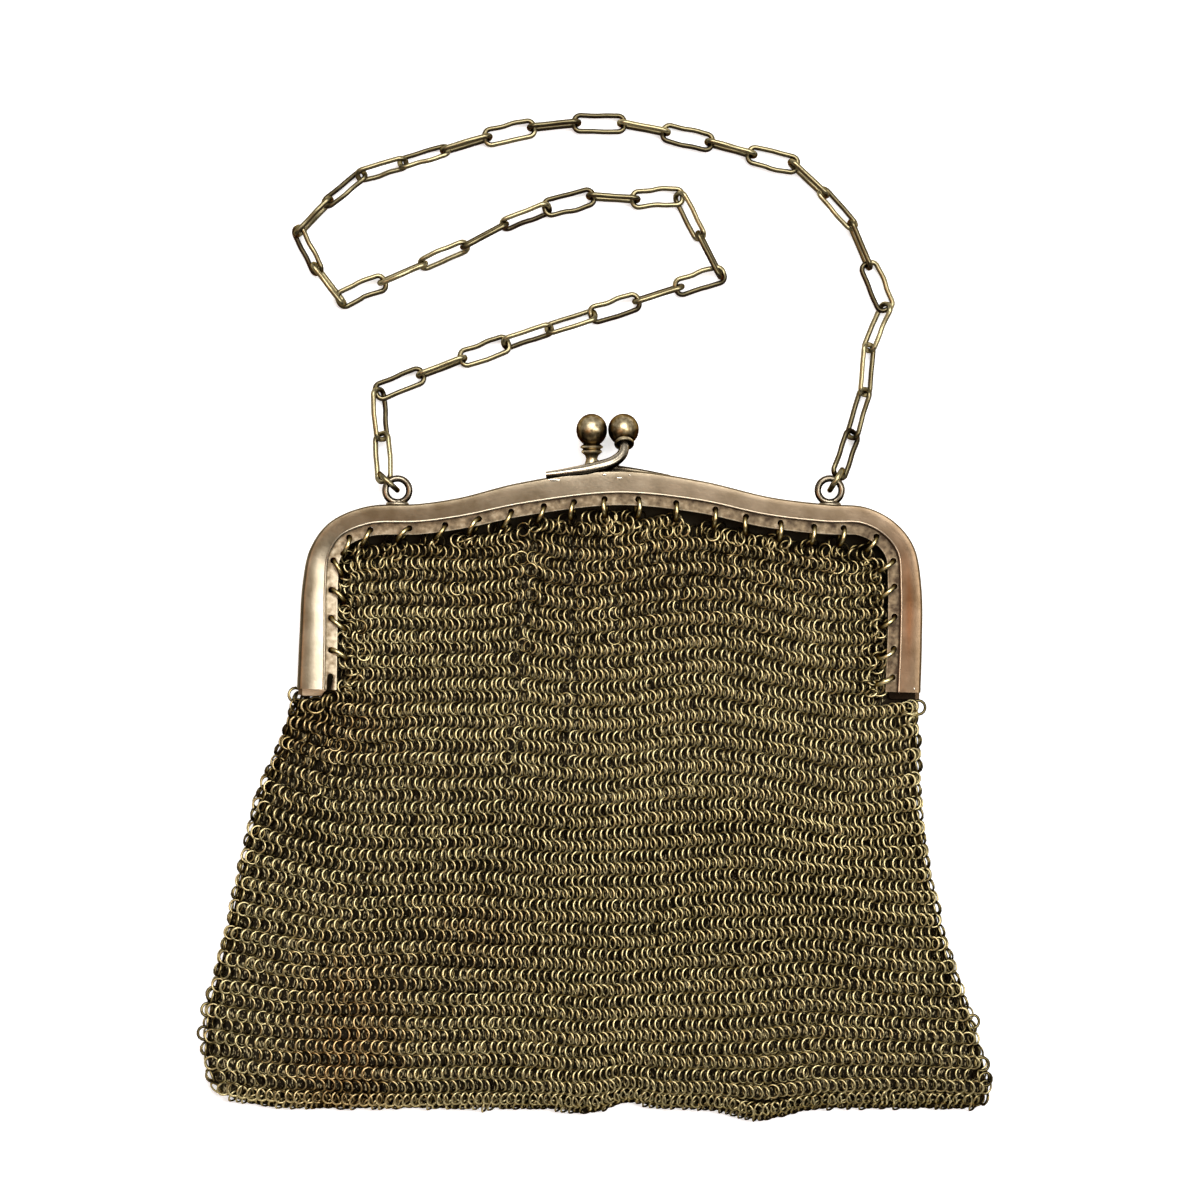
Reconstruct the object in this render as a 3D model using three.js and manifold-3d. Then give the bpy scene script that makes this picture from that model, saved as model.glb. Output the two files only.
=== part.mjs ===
// Antique metal purse: a ring-mail pouch in a two-jaw kiss-lock frame with a carry chain.
// Millimetres. The purse lies on its back: +X right, +Y towards the clasp, +Z up from the table.
import * as THREE from "three";
import { mergeVertices } from "three/addons/utils/BufferGeometryUtils.js";
import Module from "manifold-3d";

const wasm = await Module();
wasm.setup();
const UP = new THREE.Vector3(0, 0, 1);
const WELD_DISTANCE = 1e-4;

// Frame: two jaws of pressed sheet, mirrored about the parting plane
const FRAME_DEPTH = 11.0;
const PARTING_GAP = 0.4;
const JAW_DEPTH = (FRAME_DEPTH - PARTING_GAP) / 2;
const PARTING_Z = FRAME_DEPTH / 2;
const SHEET = 0.8;
const FLANGE_WIDTH = 2.4;
const FLANGE_THICK = 0.7;
const FLANGE_DROP = 1.4;
const LIP_UNDERCUT = 0.2;
const FRAME_STEPS = 34;
const BACK_ARM_EXTRA = 1.4;

// Outer edge of the frame from the left arm's end over the arch to the right arm's end,
// with the width of the domed band at each point
const edge = (x, y, band) => new THREE.Vector3(x, y, band);
const ARCH_TOP = edge(4.0, 29.5, 4.6);
const FRAME_EDGE = [
  edge(-59.6, -14.0, 5.5),
  edge(-59.1, -3.0, 5.2),
  edge(-58.5, 6.8, 4.7),
  edge(-57.0, 13.8, 4.0),
  edge(-53.2, 19.0, 3.6),
  edge(-46.0, 22.2, 3.6),
  edge(-35.2, 22.8, 3.7),
  edge(-27.2, 24.0, 3.8),
  edge(-15.2, 27.0, 4.3),
  ARCH_TOP,
  edge(20.8, 27.4, 4.0),
  edge(34.8, 24.1, 3.7),
  edge(46.0, 22.7, 3.6),
  edge(53.8, 22.1, 3.4),
  edge(59.6, 19.1, 3.4),
  edge(63.4, 14.2, 3.6),
  edge(64.9, 6.0, 4.3),
  edge(65.0, -5.0, 4.5),
  edge(64.7, -14.9, 4.6),
];

// Holes along the flange, one for each hanger ring of the mail: shift of each from even spacing
const HOLE_SHIFTS = [
  0.6, -0.5, -0.5, -1.3, -1.8, -2.5, -4.4, -3.0, -2.2, -1.8, -1.6, -1.4, -1.7, -2.0,
  -1.7, -0.5, 1.0, 0.9, 1.5, 1.8, 1.3, 1.8, 1.5, 0.2, -0.2, -0.2, -0.9,
];
const HOLE_RADIUS = 0.6;
const HOLE_SIDES = 6;
const HOLE_INSET = 1.1;
const HOLE_END_MARGIN = 2.0;
const DRILL_LENGTH = 2.0;

// Hinge pins across the arm ends, filed flush
const PIN_RADIUS = 0.9;
const PIN_LENGTH = 3.6;
const PIN_CLEARANCE = 0.35;
const PIN_ABOVE_END = 2.0;
const PIN_SIDES = 10;

// Clasp: two balls that snap past each other on bent stems soldered to the arch
const BALL_RADIUS = 3.05;
const BALL_SIDES = 12;
const BALL_RINGS = 8;
const COLLAR_RADIUS = 2.25;
const COLLAR_THICK = 1.4;
const NECK_RADIUS = 0.7 * COLLAR_RADIUS;
const STEM_SIDES = 6;
const stem = (x, y, z, radius) => ({ at: new THREE.Vector3(x, y, z), radius });
const CLASP = {
  front: {
    ball: new THREE.Vector3(5.5, 37.7, 5.5),
    collar: new THREE.Vector3(5.62, 35.0, 7.4),
    path: [
      stem(-9.8, 28.3, 7.2, 0.5),
      stem(-5.0, 29.1, 7.2, 0.6),
      stem(0.4, 29.9, 7.2, 0.7),
      stem(2.8, 30.5, 7.3, 0.72),
      stem(4.7, 31.6, 7.6, 0.72),
      stem(5.6, 33.0, 7.9, 0.7),
      stem(5.66, 34.9, 7.5, 0.7),
    ],
  },
  back: {
    ball: new THREE.Vector3(-0.86, 37.6, 5.5),
    collar: new THREE.Vector3(-0.86, 33.7, 5.4),
    path: [
      stem(14.8, 28.3, 3.8, 0.4),
      stem(9.6, 29.2, 3.8, 0.55),
      stem(4.4, 29.9, 3.8, 0.7),
      stem(1.6, 30.2, 3.8, 0.9),
      stem(0.0, 30.7, 4.2, 1.15),
      stem(-0.7, 31.6, 4.9, 1.0),
      stem(-0.86, 33.7, 5.4, 0.9),
    ],
  },
};

// Chain eyes: soldered wire rings, and the jump rings that hang in them
const EYE_RADIUS = 2.38;
const EYE_WIRE = 1.15;
const EYE_SIDES = 14;
const EYE_Z = 6.9;
const EYE_FOOT = new THREE.Vector3(2.3, 0.75, 1.3);
const BLOB_SIDES = 8;
const BLOB_RINGS = 6;
const JUMP_RADIUS = 2.4;
const JUMP_WIRE = 0.85;
const JUMP_SIDES = 12;
const JUMP_Z = 5.8;
const EYES = {
  left: { x: -39.7, y: 25.5, foot: 22.8, jump: { x: -41.5, y: 27.2, heading: 137 } },
  right: { x: 46.7, y: 25.5, foot: 22.7, jump: { x: 48.0, y: 27.6, heading: 59 } },
};

// Carry chain: long oval links of round wire
const LINK_LENGTH = 10.9;
const LINK_WIDTH = 4.3;
const LINK_WIRE = 0.7;
const LINK_CORNER = 1.25;
const CORNER_STEPS = 2;
const WIRE_SIDES = 5;
const CHAIN_END_Z = 4.8;
const CHAIN_FOOT_Z = 2.2;

// Joints of the chain chosen along its route, with the number of links since the one before
// and how far the stretch between them bows to the left
const joint = (x, y, links, bow) => ({ x, y, links, bow });
const CHAIN_ROUTE = [
  joint(-42.4, 27.95, 0, 0),
  joint(-43.0, 36.4, 1, 0),
  joint(-43.7, 45.3, 1, 0),
  joint(-9.4, 58.0, 4, 0.4),
  joint(16.9, 66.4, 3, 0),
  joint(24.8, 68.9, 1, 0),
  joint(16.8, 84.6, 2, 0),
  joint(-1.0, 84.6, 2, 0.6),
  joint(-26.4, 74.6, 3, -1.2),
  joint(-51.2, 63.8, 3, 0),
  joint(-59.6, 77.4, 2, 0.8),
  joint(-47.2, 88.8, 2, 0.5),
  joint(-21.8, 96.4, 3, 0),
  joint(5.2, 99.2, 3, 1.2),
  joint(31.4, 93.0, 3, 0.4),
  joint(39.6, 91.0, 1, 0),
  joint(51.2, 79.0, 2, 0.4),
  joint(58.2, 62.4, 2, 0),
  joint(54.0, 45.4, 2, -1.4),
  joint(51.4, 36.6, 1, 0),
  joint(48.65, 28.95, 1, 0),
];

// How each link lies: flat, half tilted, tilted or on its edge, with its left side up
// or, as a capital, its right side up; roll in degrees, z of the link's middle
const LINK_LIES = "HtFeFtTfEfeTfEf" + "TeTeFeTe" + "TtT" + "eFeFeFeFeTeF" + "tTtH";
const LIE = {
  f: { roll: 6, z: 1.3 },
  h: { roll: 35, z: 1.7 },
  t: { roll: 52, z: 1.85 },
  e: { roll: 80, z: 2.15 },
};

// Mail pouch: one wall of mail, with two flaps that run up inside the frame;
// sections thinner than HOLLOW_FROM are the solid hem
const WALL = 2.0;
const HOLLOW_FROM = 2.4 * WALL;
const HINGE_Y = -16.6;
const FLAP_TOP = 8.6;
const MOUTH_LOW = WALL;
const MOUTH_HIGH = FLAP_TOP - WALL;
const SLIT_Y = -14.4;
const FLAP_GAP_ARM = 0.5;
const FLAP_GAP_TOP = 1.6;
const SIDE_STEPS = 3;

// Where a face has its points across, close together where the hem waves
const FACE_SHARES = [0, 0.1, 0.25, 0.42, 0.484, 0.543, 0.6, 0.66, 0.712, 0.77, 0.88, 1];

// Sections of the pouch down from the hinge line: sides, thickness and share of the bottom wave
const row = (y, left, right, thick, wave) => ({ y, left, right, thick, wave });
const POUCH_ROWS = [
  row(HINGE_Y, -60.9, 64.7, FLAP_TOP, 0),
  row(-24.0, -63.6, 65.3, 9.0, 0),
  row(-36.0, -68.8, 65.5, 9.1, 0),
  row(-50.0, -72.2, 67.3, 8.9, 0),
  row(-64.0, -75.2, 70.6, 8.5, 0),
  row(-78.0, -78.8, 75.4, 7.6, 0.1),
  row(-88.0, -79.6, 78.4, 6.8, 0.4),
  row(-94.0, -78.6, 79.8, 5.9, 0.7),
  row(-97.0, -76.6, 79.2, 4.4, 0.9),
  row(-98.6, -73.6, 77.4, 2.2, 1),
];

// Waves of the pouch's bottom edge: place, half width and depth
const BOTTOM_WAVES = [
  { x: -78.0, width: 10.0, depth: -2.4 },
  { x: -2.0, width: 5.0, depth: 1.0 },
  { x: 7.0, width: 4.0, depth: -1.2 },
  { x: 33.0, width: 7.0, depth: 2.4 },
];

// Two gathers that run down the front flap
const GATHER_WIDTH = 3.0;
const GATHER_DEPTH = 0.7;
const GATHERS = [
  { x: -17.0, top: 16.0, length: 50.0 },
  { x: -4.2, top: 18.0, length: 52.0 },
];

// Closed solid from rings of points, each ring joined to the next
function loft(rings, closed) {
  const count = rings[0].length;
  const positions = rings.flat().flatMap((p) => [p.x, p.y, p.z]);
  const triangles = [];
  const spans = closed ? rings.length : rings.length - 1;
  for (let r = 0; r < spans; r++) {
    const here = r * count;
    const next = ((r + 1) % rings.length) * count;
    for (let k = 0; k < count; k++) {
      const n = (k + 1) % count;
      triangles.push(here + k, here + n, next + n, here + k, next + n, next + k);
    }
  }
  if (!closed) {
    triangles.push(...cap(rings[0], 0).reverse());
    triangles.push(...cap(rings.at(-1), count * (rings.length - 1)));
  }
  const geometry = new THREE.BufferGeometry();
  geometry.setAttribute("position", new THREE.Float32BufferAttribute(positions, 3));
  geometry.setIndex(triangles);
  return outward(geometry);
}

// Triangles over one ring of points, worked out in the ring's own plane
function cap(ring, offset) {
  const normal = new THREE.Vector3();
  ring.forEach((p, k) => normal.add(p.clone().cross(ring[(k + 1) % ring.length])));
  const turn = new THREE.Quaternion().setFromUnitVectors(normal.normalize(), UP);
  const flat = ring.map((p) => {
    const q = p.clone().applyQuaternion(turn);
    return new THREE.Vector2(q.x, q.y);
  });
  return THREE.ShapeUtils.triangulateShape(flat, []).flatMap((f) => f.map((k) => k + offset));
}

// Turns the faces round where a geometry is inside out
function outward(geometry) {
  const p = geometry.attributes.position;
  const index = geometry.index.array;
  const [a, b, c] = [new THREE.Vector3(), new THREE.Vector3(), new THREE.Vector3()];
  let volume = 0;
  for (let i = 0; i < index.length; i += 3) {
    [a, b, c].forEach((v, k) => v.fromBufferAttribute(p, index[i + k]));
    volume += a.dot(b.cross(c));
  }
  if (volume < 0) {
    geometry.setIndex([...index].reverse());
  }
  return geometry;
}

// Geometry with only welded positions
function welded(geometry) {
  const bare = geometry.clone();
  bare.deleteAttribute("normal");
  bare.deleteAttribute("uv");
  return mergeVertices(bare, WELD_DISTANCE);
}

function toSolid(geometry) {
  const mesh = welded(geometry);
  return new wasm.Manifold(
    new wasm.Mesh({
      numProp: 3,
      vertProperties: new Float32Array(mesh.attributes.position.array),
      triVerts: new Uint32Array(mesh.index.array),
    }),
  );
}

function toGeometry(solid) {
  const mesh = solid.getMesh();
  const geometry = new THREE.BufferGeometry();
  geometry.setAttribute("position", new THREE.BufferAttribute(mesh.vertProperties, 3));
  geometry.setIndex(new THREE.BufferAttribute(mesh.triVerts, 1));
  geometry.computeVertexNormals();
  return geometry;
}

const join = (pieces) => pieces.reduce((all, piece) => all.add(piece));
const cut = (body, pieces) => pieces.reduce((left, piece) => left.subtract(piece), body);

// Ring of points round a centre, square to a direction
function circle(centre, direction, radius, sides) {
  const across = UP.clone().cross(direction).normalize();
  const over = direction.clone().cross(across).normalize();
  return Array.from({ length: sides }, (_, k) => {
    const angle = (2 * Math.PI * k) / sides;
    return centre
      .clone()
      .addScaledVector(across, radius * Math.cos(angle))
      .addScaledVector(over, radius * Math.sin(angle));
  });
}

// Round bar through a list of points, each with its own radius
function taperedBar(path, sides) {
  const rings = path.map(({ at, radius }, k) => {
    const before = path[Math.max(k - 1, 0)].at;
    const after = path[Math.min(k + 1, path.length - 1)].at;
    return circle(at, after.clone().sub(before).normalize(), radius, sides);
  });
  return toSolid(loft(rings, false));
}

// Points of the frame's outer edge, with the way in and the band's width at each
function frameEdge(extra) {
  const points = new THREE.CatmullRomCurve3(FRAME_EDGE).getSpacedPoints(FRAME_STEPS);
  points[0].y -= extra;
  points.at(-1).y -= extra;
  return points.map((p, k) => {
    const before = points[Math.max(k - 1, 0)];
    const after = points[Math.min(k + 1, points.length - 1)];
    const along = new THREE.Vector2(after.x - before.x, after.y - before.y).normalize();
    return { x: p.x, y: p.y, band: p.z, inX: along.y, inY: -along.x };
  });
}

const inward = (e, distance) =>
  new THREE.Vector3(e.x + e.inX * distance, e.y + e.inY * distance, 0);

// Section of a jaw: distance in from the outer edge, height above the parting face
function jawSection(band) {
  const flangeTop = JAW_DEPTH - FLANGE_DROP;
  const flangeLow = flangeTop - FLANGE_THICK;
  return [
    [0, 0],
    [0, 0.45 * JAW_DEPTH],
    [0.09 * band, 0.76 * JAW_DEPTH],
    [0.28 * band, 0.95 * JAW_DEPTH],
    [0.5 * band, JAW_DEPTH],
    [0.8 * band, 0.94 * JAW_DEPTH],
    [band, 0.86 * JAW_DEPTH],
    [band, flangeTop],
    [band + FLANGE_WIDTH, flangeTop],
    [band + FLANGE_WIDTH, flangeLow],
    [band - LIP_UNDERCUT, flangeLow],
    [0.55 * band, JAW_DEPTH - SHEET],
    [SHEET, 0.45 * JAW_DEPTH],
    [SHEET, 0],
  ];
}

// Sheet body of one jaw; side is 1 for the front jaw and -1 for the back one
function jawSheet(side) {
  const face = PARTING_Z + (side * PARTING_GAP) / 2;
  const rings = frameEdge(side > 0 ? 0 : BACK_ARM_EXTRA).map((e) =>
    jawSection(e.band).map(([distance, height]) => {
      const p = inward(e, distance);
      p.z = face + side * height;
      return p;
    }),
  );
  return toSolid(loft(rings, false));
}

// Drills for the hanger holes along the flange
function hangerDrills(side) {
  const line = frameEdge(0).map((e) => inward(e, e.band + HOLE_INSET));
  const curve = new THREE.CatmullRomCurve3(line);
  const length = curve.getLength();
  const step = (length - 2 * HOLE_END_MARGIN) / (HOLE_SHIFTS.length - 1);
  const height = JAW_DEPTH - FLANGE_DROP - FLANGE_THICK / 2;
  return HOLE_SHIFTS.map((shift, k) => {
    const at = curve.getPointAt((HOLE_END_MARGIN + k * step + shift) / length);
    const drill = new THREE.CylinderGeometry(HOLE_RADIUS, HOLE_RADIUS, DRILL_LENGTH, HOLE_SIDES);
    drill.rotateX(Math.PI / 2);
    drill.translate(at.x, at.y, PARTING_Z + side * (PARTING_GAP / 2 + height));
    return toSolid(drill);
  });
}

// Places of the two hinge pins: just above each arm's end, pointing in across the arm
function pinPlaces() {
  const first = FRAME_EDGE[0];
  const last = FRAME_EDGE.at(-1);
  return [
    { name: "hinge_pin_left", x: first.x, y: first.y + PIN_ABOVE_END, way: 1 },
    { name: "hinge_pin_right", x: last.x, y: last.y + PIN_ABOVE_END, way: -1 },
  ];
}

// Half-round seats in the jaws that leave the pins their clearance
function pinSeats() {
  return pinPlaces().map(({ x, y }) => {
    const reach = PIN_RADIUS + PIN_CLEARANCE;
    const seat = new THREE.CylinderGeometry(reach, reach, 2 * PIN_LENGTH, PIN_SIDES);
    seat.rotateZ(Math.PI / 2);
    seat.translate(x, y, PARTING_Z);
    return toSolid(seat);
  });
}

// Plain pin from the outside of an arm inwards
function pinGeometry(way) {
  const pin = new THREE.CylinderGeometry(PIN_RADIUS, PIN_RADIUS, PIN_LENGTH, PIN_SIDES);
  pin.rotateZ(Math.PI / 2);
  pin.translate((way * PIN_LENGTH) / 2, 0, 0);
  return pin;
}

// Ball, collar and stem of one half of the clasp
function claspHalf({ ball, collar, path }) {
  const sphere = new THREE.SphereGeometry(BALL_RADIUS, BALL_SIDES, BALL_RINGS);
  sphere.translate(ball.x, ball.y, ball.z);
  const half = COLLAR_THICK / 2;
  const profile = [
    [0, -half],
    [0.65 * COLLAR_RADIUS, -half],
    [COLLAR_RADIUS, -0.4 * half],
    [COLLAR_RADIUS, 0.4 * half],
    [0.75 * COLLAR_RADIUS, half],
    [0, half],
  ].map(([radius, along]) => new THREE.Vector2(radius, along));
  const disc = new THREE.LatheGeometry(profile, BALL_SIDES);
  const axis = ball.clone().sub(collar).normalize();
  disc.applyQuaternion(
    new THREE.Quaternion().setFromUnitVectors(new THREE.Vector3(0, 1, 0), axis),
  );
  disc.translate(collar.x, collar.y, collar.z);
  const neck = [collar, ball].map((at) => ({ at, radius: NECK_RADIUS }));
  return join([
    toSolid(sphere),
    toSolid(disc),
    taperedBar(neck, STEM_SIDES),
    taperedBar(path, STEM_SIDES),
  ]);
}

// Wire eye soldered to the outer edge of the front jaw
function chainEye({ x, y, foot }) {
  const ring = new THREE.TorusGeometry(EYE_RADIUS, EYE_WIRE / 2, WIRE_SIDES, EYE_SIDES);
  ring.translate(x, y, EYE_Z);
  const solder = new THREE.SphereGeometry(1, BLOB_SIDES, BLOB_RINGS);
  solder.scale(EYE_FOOT.x, EYE_FOOT.y, EYE_FOOT.z);
  solder.translate(x, foot, EYE_Z);
  return toSolid(ring).add(toSolid(solder));
}

function frameFront() {
  const sheet = cut(jawSheet(1), [...hangerDrills(1), ...pinSeats()]);
  return toGeometry(
    join([sheet, claspHalf(CLASP.front), chainEye(EYES.left), chainEye(EYES.right)]),
  );
}

function frameBack() {
  const sheet = cut(jawSheet(-1), [...hangerDrills(-1), ...pinSeats()]);
  return toGeometry(sheet.add(claspHalf(CLASP.back)));
}

// One link: a rounded rectangle of wire, its length along X and its width along Y
function linkGeometry() {
  const half = {
    x: (LINK_LENGTH - LINK_WIRE) / 2 - LINK_CORNER,
    y: (LINK_WIDTH - LINK_WIRE) / 2 - LINK_CORNER,
  };
  const corners = [
    [1, 1],
    [-1, 1],
    [-1, -1],
    [1, -1],
  ];
  const rings = corners.flatMap(([sx, sy], quarter) =>
    Array.from({ length: CORNER_STEPS + 1 }, (_, k) => {
      const angle = (Math.PI / 2) * (quarter + k / CORNER_STEPS);
      const out = new THREE.Vector3(Math.cos(angle), Math.sin(angle), 0);
      const centre = new THREE.Vector3(sx * half.x, sy * half.y, 0);
      const along = new THREE.Vector3(-out.y, out.x, 0);
      return circle(centre.addScaledVector(out, LINK_CORNER), along, LINK_WIRE / 2, WIRE_SIDES);
    }),
  );
  return loft(rings, true);
}

// Joints of the chain, evenly shared out between the chosen points of its route
function chainJoints() {
  const at = CHAIN_ROUTE.map(({ x, y }) => new THREE.Vector3(x, y, 0));
  return CHAIN_ROUTE.flatMap(({ links, bow }, k) => {
    const from = at[Math.max(k - 1, 0)];
    const aside = at[k].clone().sub(from).normalize().applyAxisAngle(UP, Math.PI / 2);
    return Array.from({ length: links || 1 }, (_, n) => {
      const share = (n + 1) / (links || 1);
      const bulge = 4 * bow * share * (1 - share);
      return from.clone().lerp(at[k], share).addScaledVector(aside, bulge);
    });
  });
}

// Places and turns of the links between their joints
function chainLinks(material) {
  const joints = chainJoints();
  const geometry = linkGeometry();
  const count = joints.length - 1;
  return Array.from({ length: count }, (_, k) => {
    const letter = LINK_LIES[k];
    const lie = LIE[letter.toLowerCase()];
    const lean = letter === letter.toLowerCase() ? lie.roll : -lie.roll;
    const [first, last] = [k === 0, k === count - 1];
    const from = joints[k].clone().setZ(first ? CHAIN_END_Z : last ? CHAIN_FOOT_Z : lie.z);
    const to = joints[k + 1].clone().setZ(last ? CHAIN_END_Z : first ? CHAIN_FOOT_Z : lie.z);
    const long = to.clone().sub(from).normalize();
    const wide = UP.clone().cross(long).normalize();
    const thin = long.clone().cross(wide);
    const roll = THREE.MathUtils.degToRad(lean);
    const link = new THREE.Mesh(geometry, material);
    link.name = "chain_link_" + String(k + 1).padStart(2, "0");
    link.position.copy(from).lerp(to, 0.5);
    link.quaternion
      .setFromRotationMatrix(new THREE.Matrix4().makeBasis(long, wide, thin))
      .multiply(new THREE.Quaternion().setFromAxisAngle(new THREE.Vector3(1, 0, 0), roll));
    return link;
  });
}

function jumpRing(side, material) {
  const { x, y, heading } = EYES[side].jump;
  const ring = new THREE.TorusGeometry(JUMP_RADIUS, JUMP_WIRE / 2, WIRE_SIDES, JUMP_SIDES);
  ring.rotateX(Math.PI / 2);
  const mesh = new THREE.Mesh(welded(ring), material);
  mesh.name = "chain_jump_ring_" + side;
  mesh.position.set(x, y, JUMP_Z);
  mesh.rotation.z = THREE.MathUtils.degToRad(heading);
  return mesh;
}

// Depth of the bottom edge's waves at one place
function bottomWave(x) {
  return BOTTOM_WAVES.reduce(
    (sum, w) => sum - w.depth * Math.exp(-(((x - w.x) / w.width) ** 2)),
    0,
  );
}

// Section of the pouch drawn in by an inset: flat faces and round sides
function pouchRing({ y, left, right, thick, wave }, inset) {
  const radius = thick / 2 - inset;
  const middle = thick / 2;
  const [low, high] = [left + thick / 2, right - thick / 2];
  const points = [];
  const place = (x, z) => points.push(new THREE.Vector3(x, y + wave * bottomWave(x), z));
  const across = FACE_SHARES.map((share) => low + (high - low) * share);
  across.forEach((x) => place(x, middle + radius));
  for (let k = 1; k <= SIDE_STEPS; k++) {
    const angle = Math.PI / 2 - (Math.PI * k) / (SIDE_STEPS + 1);
    place(high + radius * Math.cos(angle), middle + radius * Math.sin(angle));
  }
  across.reverse().forEach((x) => place(x, middle - radius));
  for (let k = 1; k <= SIDE_STEPS; k++) {
    const angle = -Math.PI / 2 - (Math.PI * k) / (SIDE_STEPS + 1);
    place(low + radius * Math.cos(angle), middle + radius * Math.sin(angle));
  }
  return points;
}

// Inside of the pouch: the same sections drawn in by the wall
function pouchHollow() {
  const rows = POUCH_ROWS.filter(({ thick }) => thick > HOLLOW_FROM);
  return rows.map((r, k) => pouchRing(k === 0 ? { ...r, y: r.y - WALL } : r, WALL));
}

// Plate in the frame's opening, kept clear of the flange
function flapPlate() {
  const outline = frameEdge(0).map((e) => {
    const gap = FLAP_GAP_ARM + (FLAP_GAP_TOP - FLAP_GAP_ARM) * Math.max(0, -e.inY);
    return inward(e, e.band + FLANGE_WIDTH + gap);
  });
  const low = HINGE_Y - WALL;
  const shape = new THREE.Shape([
    new THREE.Vector2(outline[0].x, low),
    ...outline.map((p) => new THREE.Vector2(p.x, p.y)),
    new THREE.Vector2(outline.at(-1).x, low),
  ]);
  const plate = new THREE.ExtrudeGeometry(shape, { depth: FLAP_TOP, bevelEnabled: false });
  return { solid: toSolid(welded(plate)), left: outline[0].x, right: outline.at(-1).x };
}

function block(low, high) {
  const size = high.clone().sub(low);
  const box = new THREE.BoxGeometry(size.x, size.y, size.z);
  box.translate((low.x + high.x) / 2, (low.y + high.y) / 2, (low.z + high.z) / 2);
  return toSolid(box);
}

function mailPouch() {
  const flap = flapPlate();
  const mouth = block(
    new THREE.Vector3(2 * flap.left, SLIT_Y, MOUTH_LOW),
    new THREE.Vector3(2 * flap.right, ARCH_TOP.y, MOUTH_HIGH),
  );
  const throat = block(
    new THREE.Vector3(flap.left + WALL, HINGE_Y - 2 * WALL, MOUTH_LOW),
    new THREE.Vector3(flap.right - WALL, SLIT_Y + WALL, MOUTH_HIGH),
  );
  const gathers = GATHERS.map(({ x, top, length }) => {
    const groove = new THREE.SphereGeometry(1, BLOB_SIDES, BLOB_RINGS);
    groove.scale(GATHER_WIDTH / 2, length / 2, GATHER_DEPTH);
    groove.translate(x, top - length / 2, FLAP_TOP);
    return toSolid(groove);
  });
  const body = toSolid(loft(POUCH_ROWS.map((r) => pouchRing(r, 0)), false));
  const hollow = toSolid(loft(pouchHollow(), false));
  return toGeometry(cut(body.add(flap.solid), [hollow, mouth, throat, ...gathers]));
}

const material = (color, roughness) =>
  new THREE.MeshStandardMaterial({ color, roughness, metalness: 1 });
const frameMetal = material(0x9c8a70, 0.35);
const mailMetal = material(0x6f6437, 0.4);
const chainMetal = material(0xa89c68, 0.3);

function named(name, geometry, finish) {
  const mesh = new THREE.Mesh(geometry, finish);
  mesh.name = name;
  return mesh;
}

const pieces = new THREE.Group();
pieces.add(named("frame_front", frameFront(), frameMetal));
pieces.add(named("frame_back", frameBack(), frameMetal));
pieces.add(named("mail_pouch", mailPouch(), mailMetal));
for (const { name, x, y, way } of pinPlaces()) {
  const pin = named(name, welded(pinGeometry(way)), frameMetal);
  pin.position.set(x, y, PARTING_Z);
  pieces.add(pin);
}
pieces.add(jumpRing("left", chainMetal), jumpRing("right", chainMetal));
pieces.add(...chainLinks(chainMetal));

// The origin is under the middle of the purse's box
const box = new THREE.Box3().setFromObject(pieces);
const middle = box.getCenter(new THREE.Vector3());
pieces.position.set(-middle.x, -middle.y, -box.min.z);

const purse = new THREE.Group();
purse.add(pieces);
export default purse;
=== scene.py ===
import math

import bmesh
import bpy
import numpy as np
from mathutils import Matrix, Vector


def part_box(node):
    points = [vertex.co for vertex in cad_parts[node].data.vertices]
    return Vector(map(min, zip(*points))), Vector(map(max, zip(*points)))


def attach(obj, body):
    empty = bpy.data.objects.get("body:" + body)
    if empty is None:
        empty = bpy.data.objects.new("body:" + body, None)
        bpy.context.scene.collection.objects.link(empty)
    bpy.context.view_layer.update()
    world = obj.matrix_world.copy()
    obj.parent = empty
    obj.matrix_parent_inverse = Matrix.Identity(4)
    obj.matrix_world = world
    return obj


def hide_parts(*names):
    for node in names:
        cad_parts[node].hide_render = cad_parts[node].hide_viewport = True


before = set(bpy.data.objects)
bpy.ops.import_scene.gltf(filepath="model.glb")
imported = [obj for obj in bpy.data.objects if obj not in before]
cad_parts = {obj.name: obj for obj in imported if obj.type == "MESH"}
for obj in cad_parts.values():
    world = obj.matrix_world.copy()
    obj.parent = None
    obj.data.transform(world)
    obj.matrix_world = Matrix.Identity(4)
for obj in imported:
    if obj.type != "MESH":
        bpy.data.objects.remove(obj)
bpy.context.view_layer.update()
rng = np.random.default_rng(11)

# Sizes are millimetres of the purse's own drawing: x right, y towards the clasp, z up from the table.
# The back jaw's box says where the drawing lies in the frame.
MM = 0.001
DRAWN_CORNER = np.array([-59.6, -16.3, 0])
DRAWN_ORIGIN = np.array(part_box("frame_back")[0]) / MM - DRAWN_CORNER
UP = np.array([0.0, 0.0, 1.0])

# Camera and floor: the photo's square shows 240 mm of the table from straight above
VIEW_SPAN = 240.0
VIEW_CENTRE = (0.8, 3.6)
VIEW_LEVEL = 6.0
LENS = 180.0
SENSOR = 36.0
CLIP_END = 10.0
FLOOR_SIZE = 6000.0
FLOOR_DROP = 0.05
FLOOR_COLOUR = (0.9, 0.9, 0.9, 1)
FLOOR_ROUGH = 0.9
FLOOR_GLOW = 0.5

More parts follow.
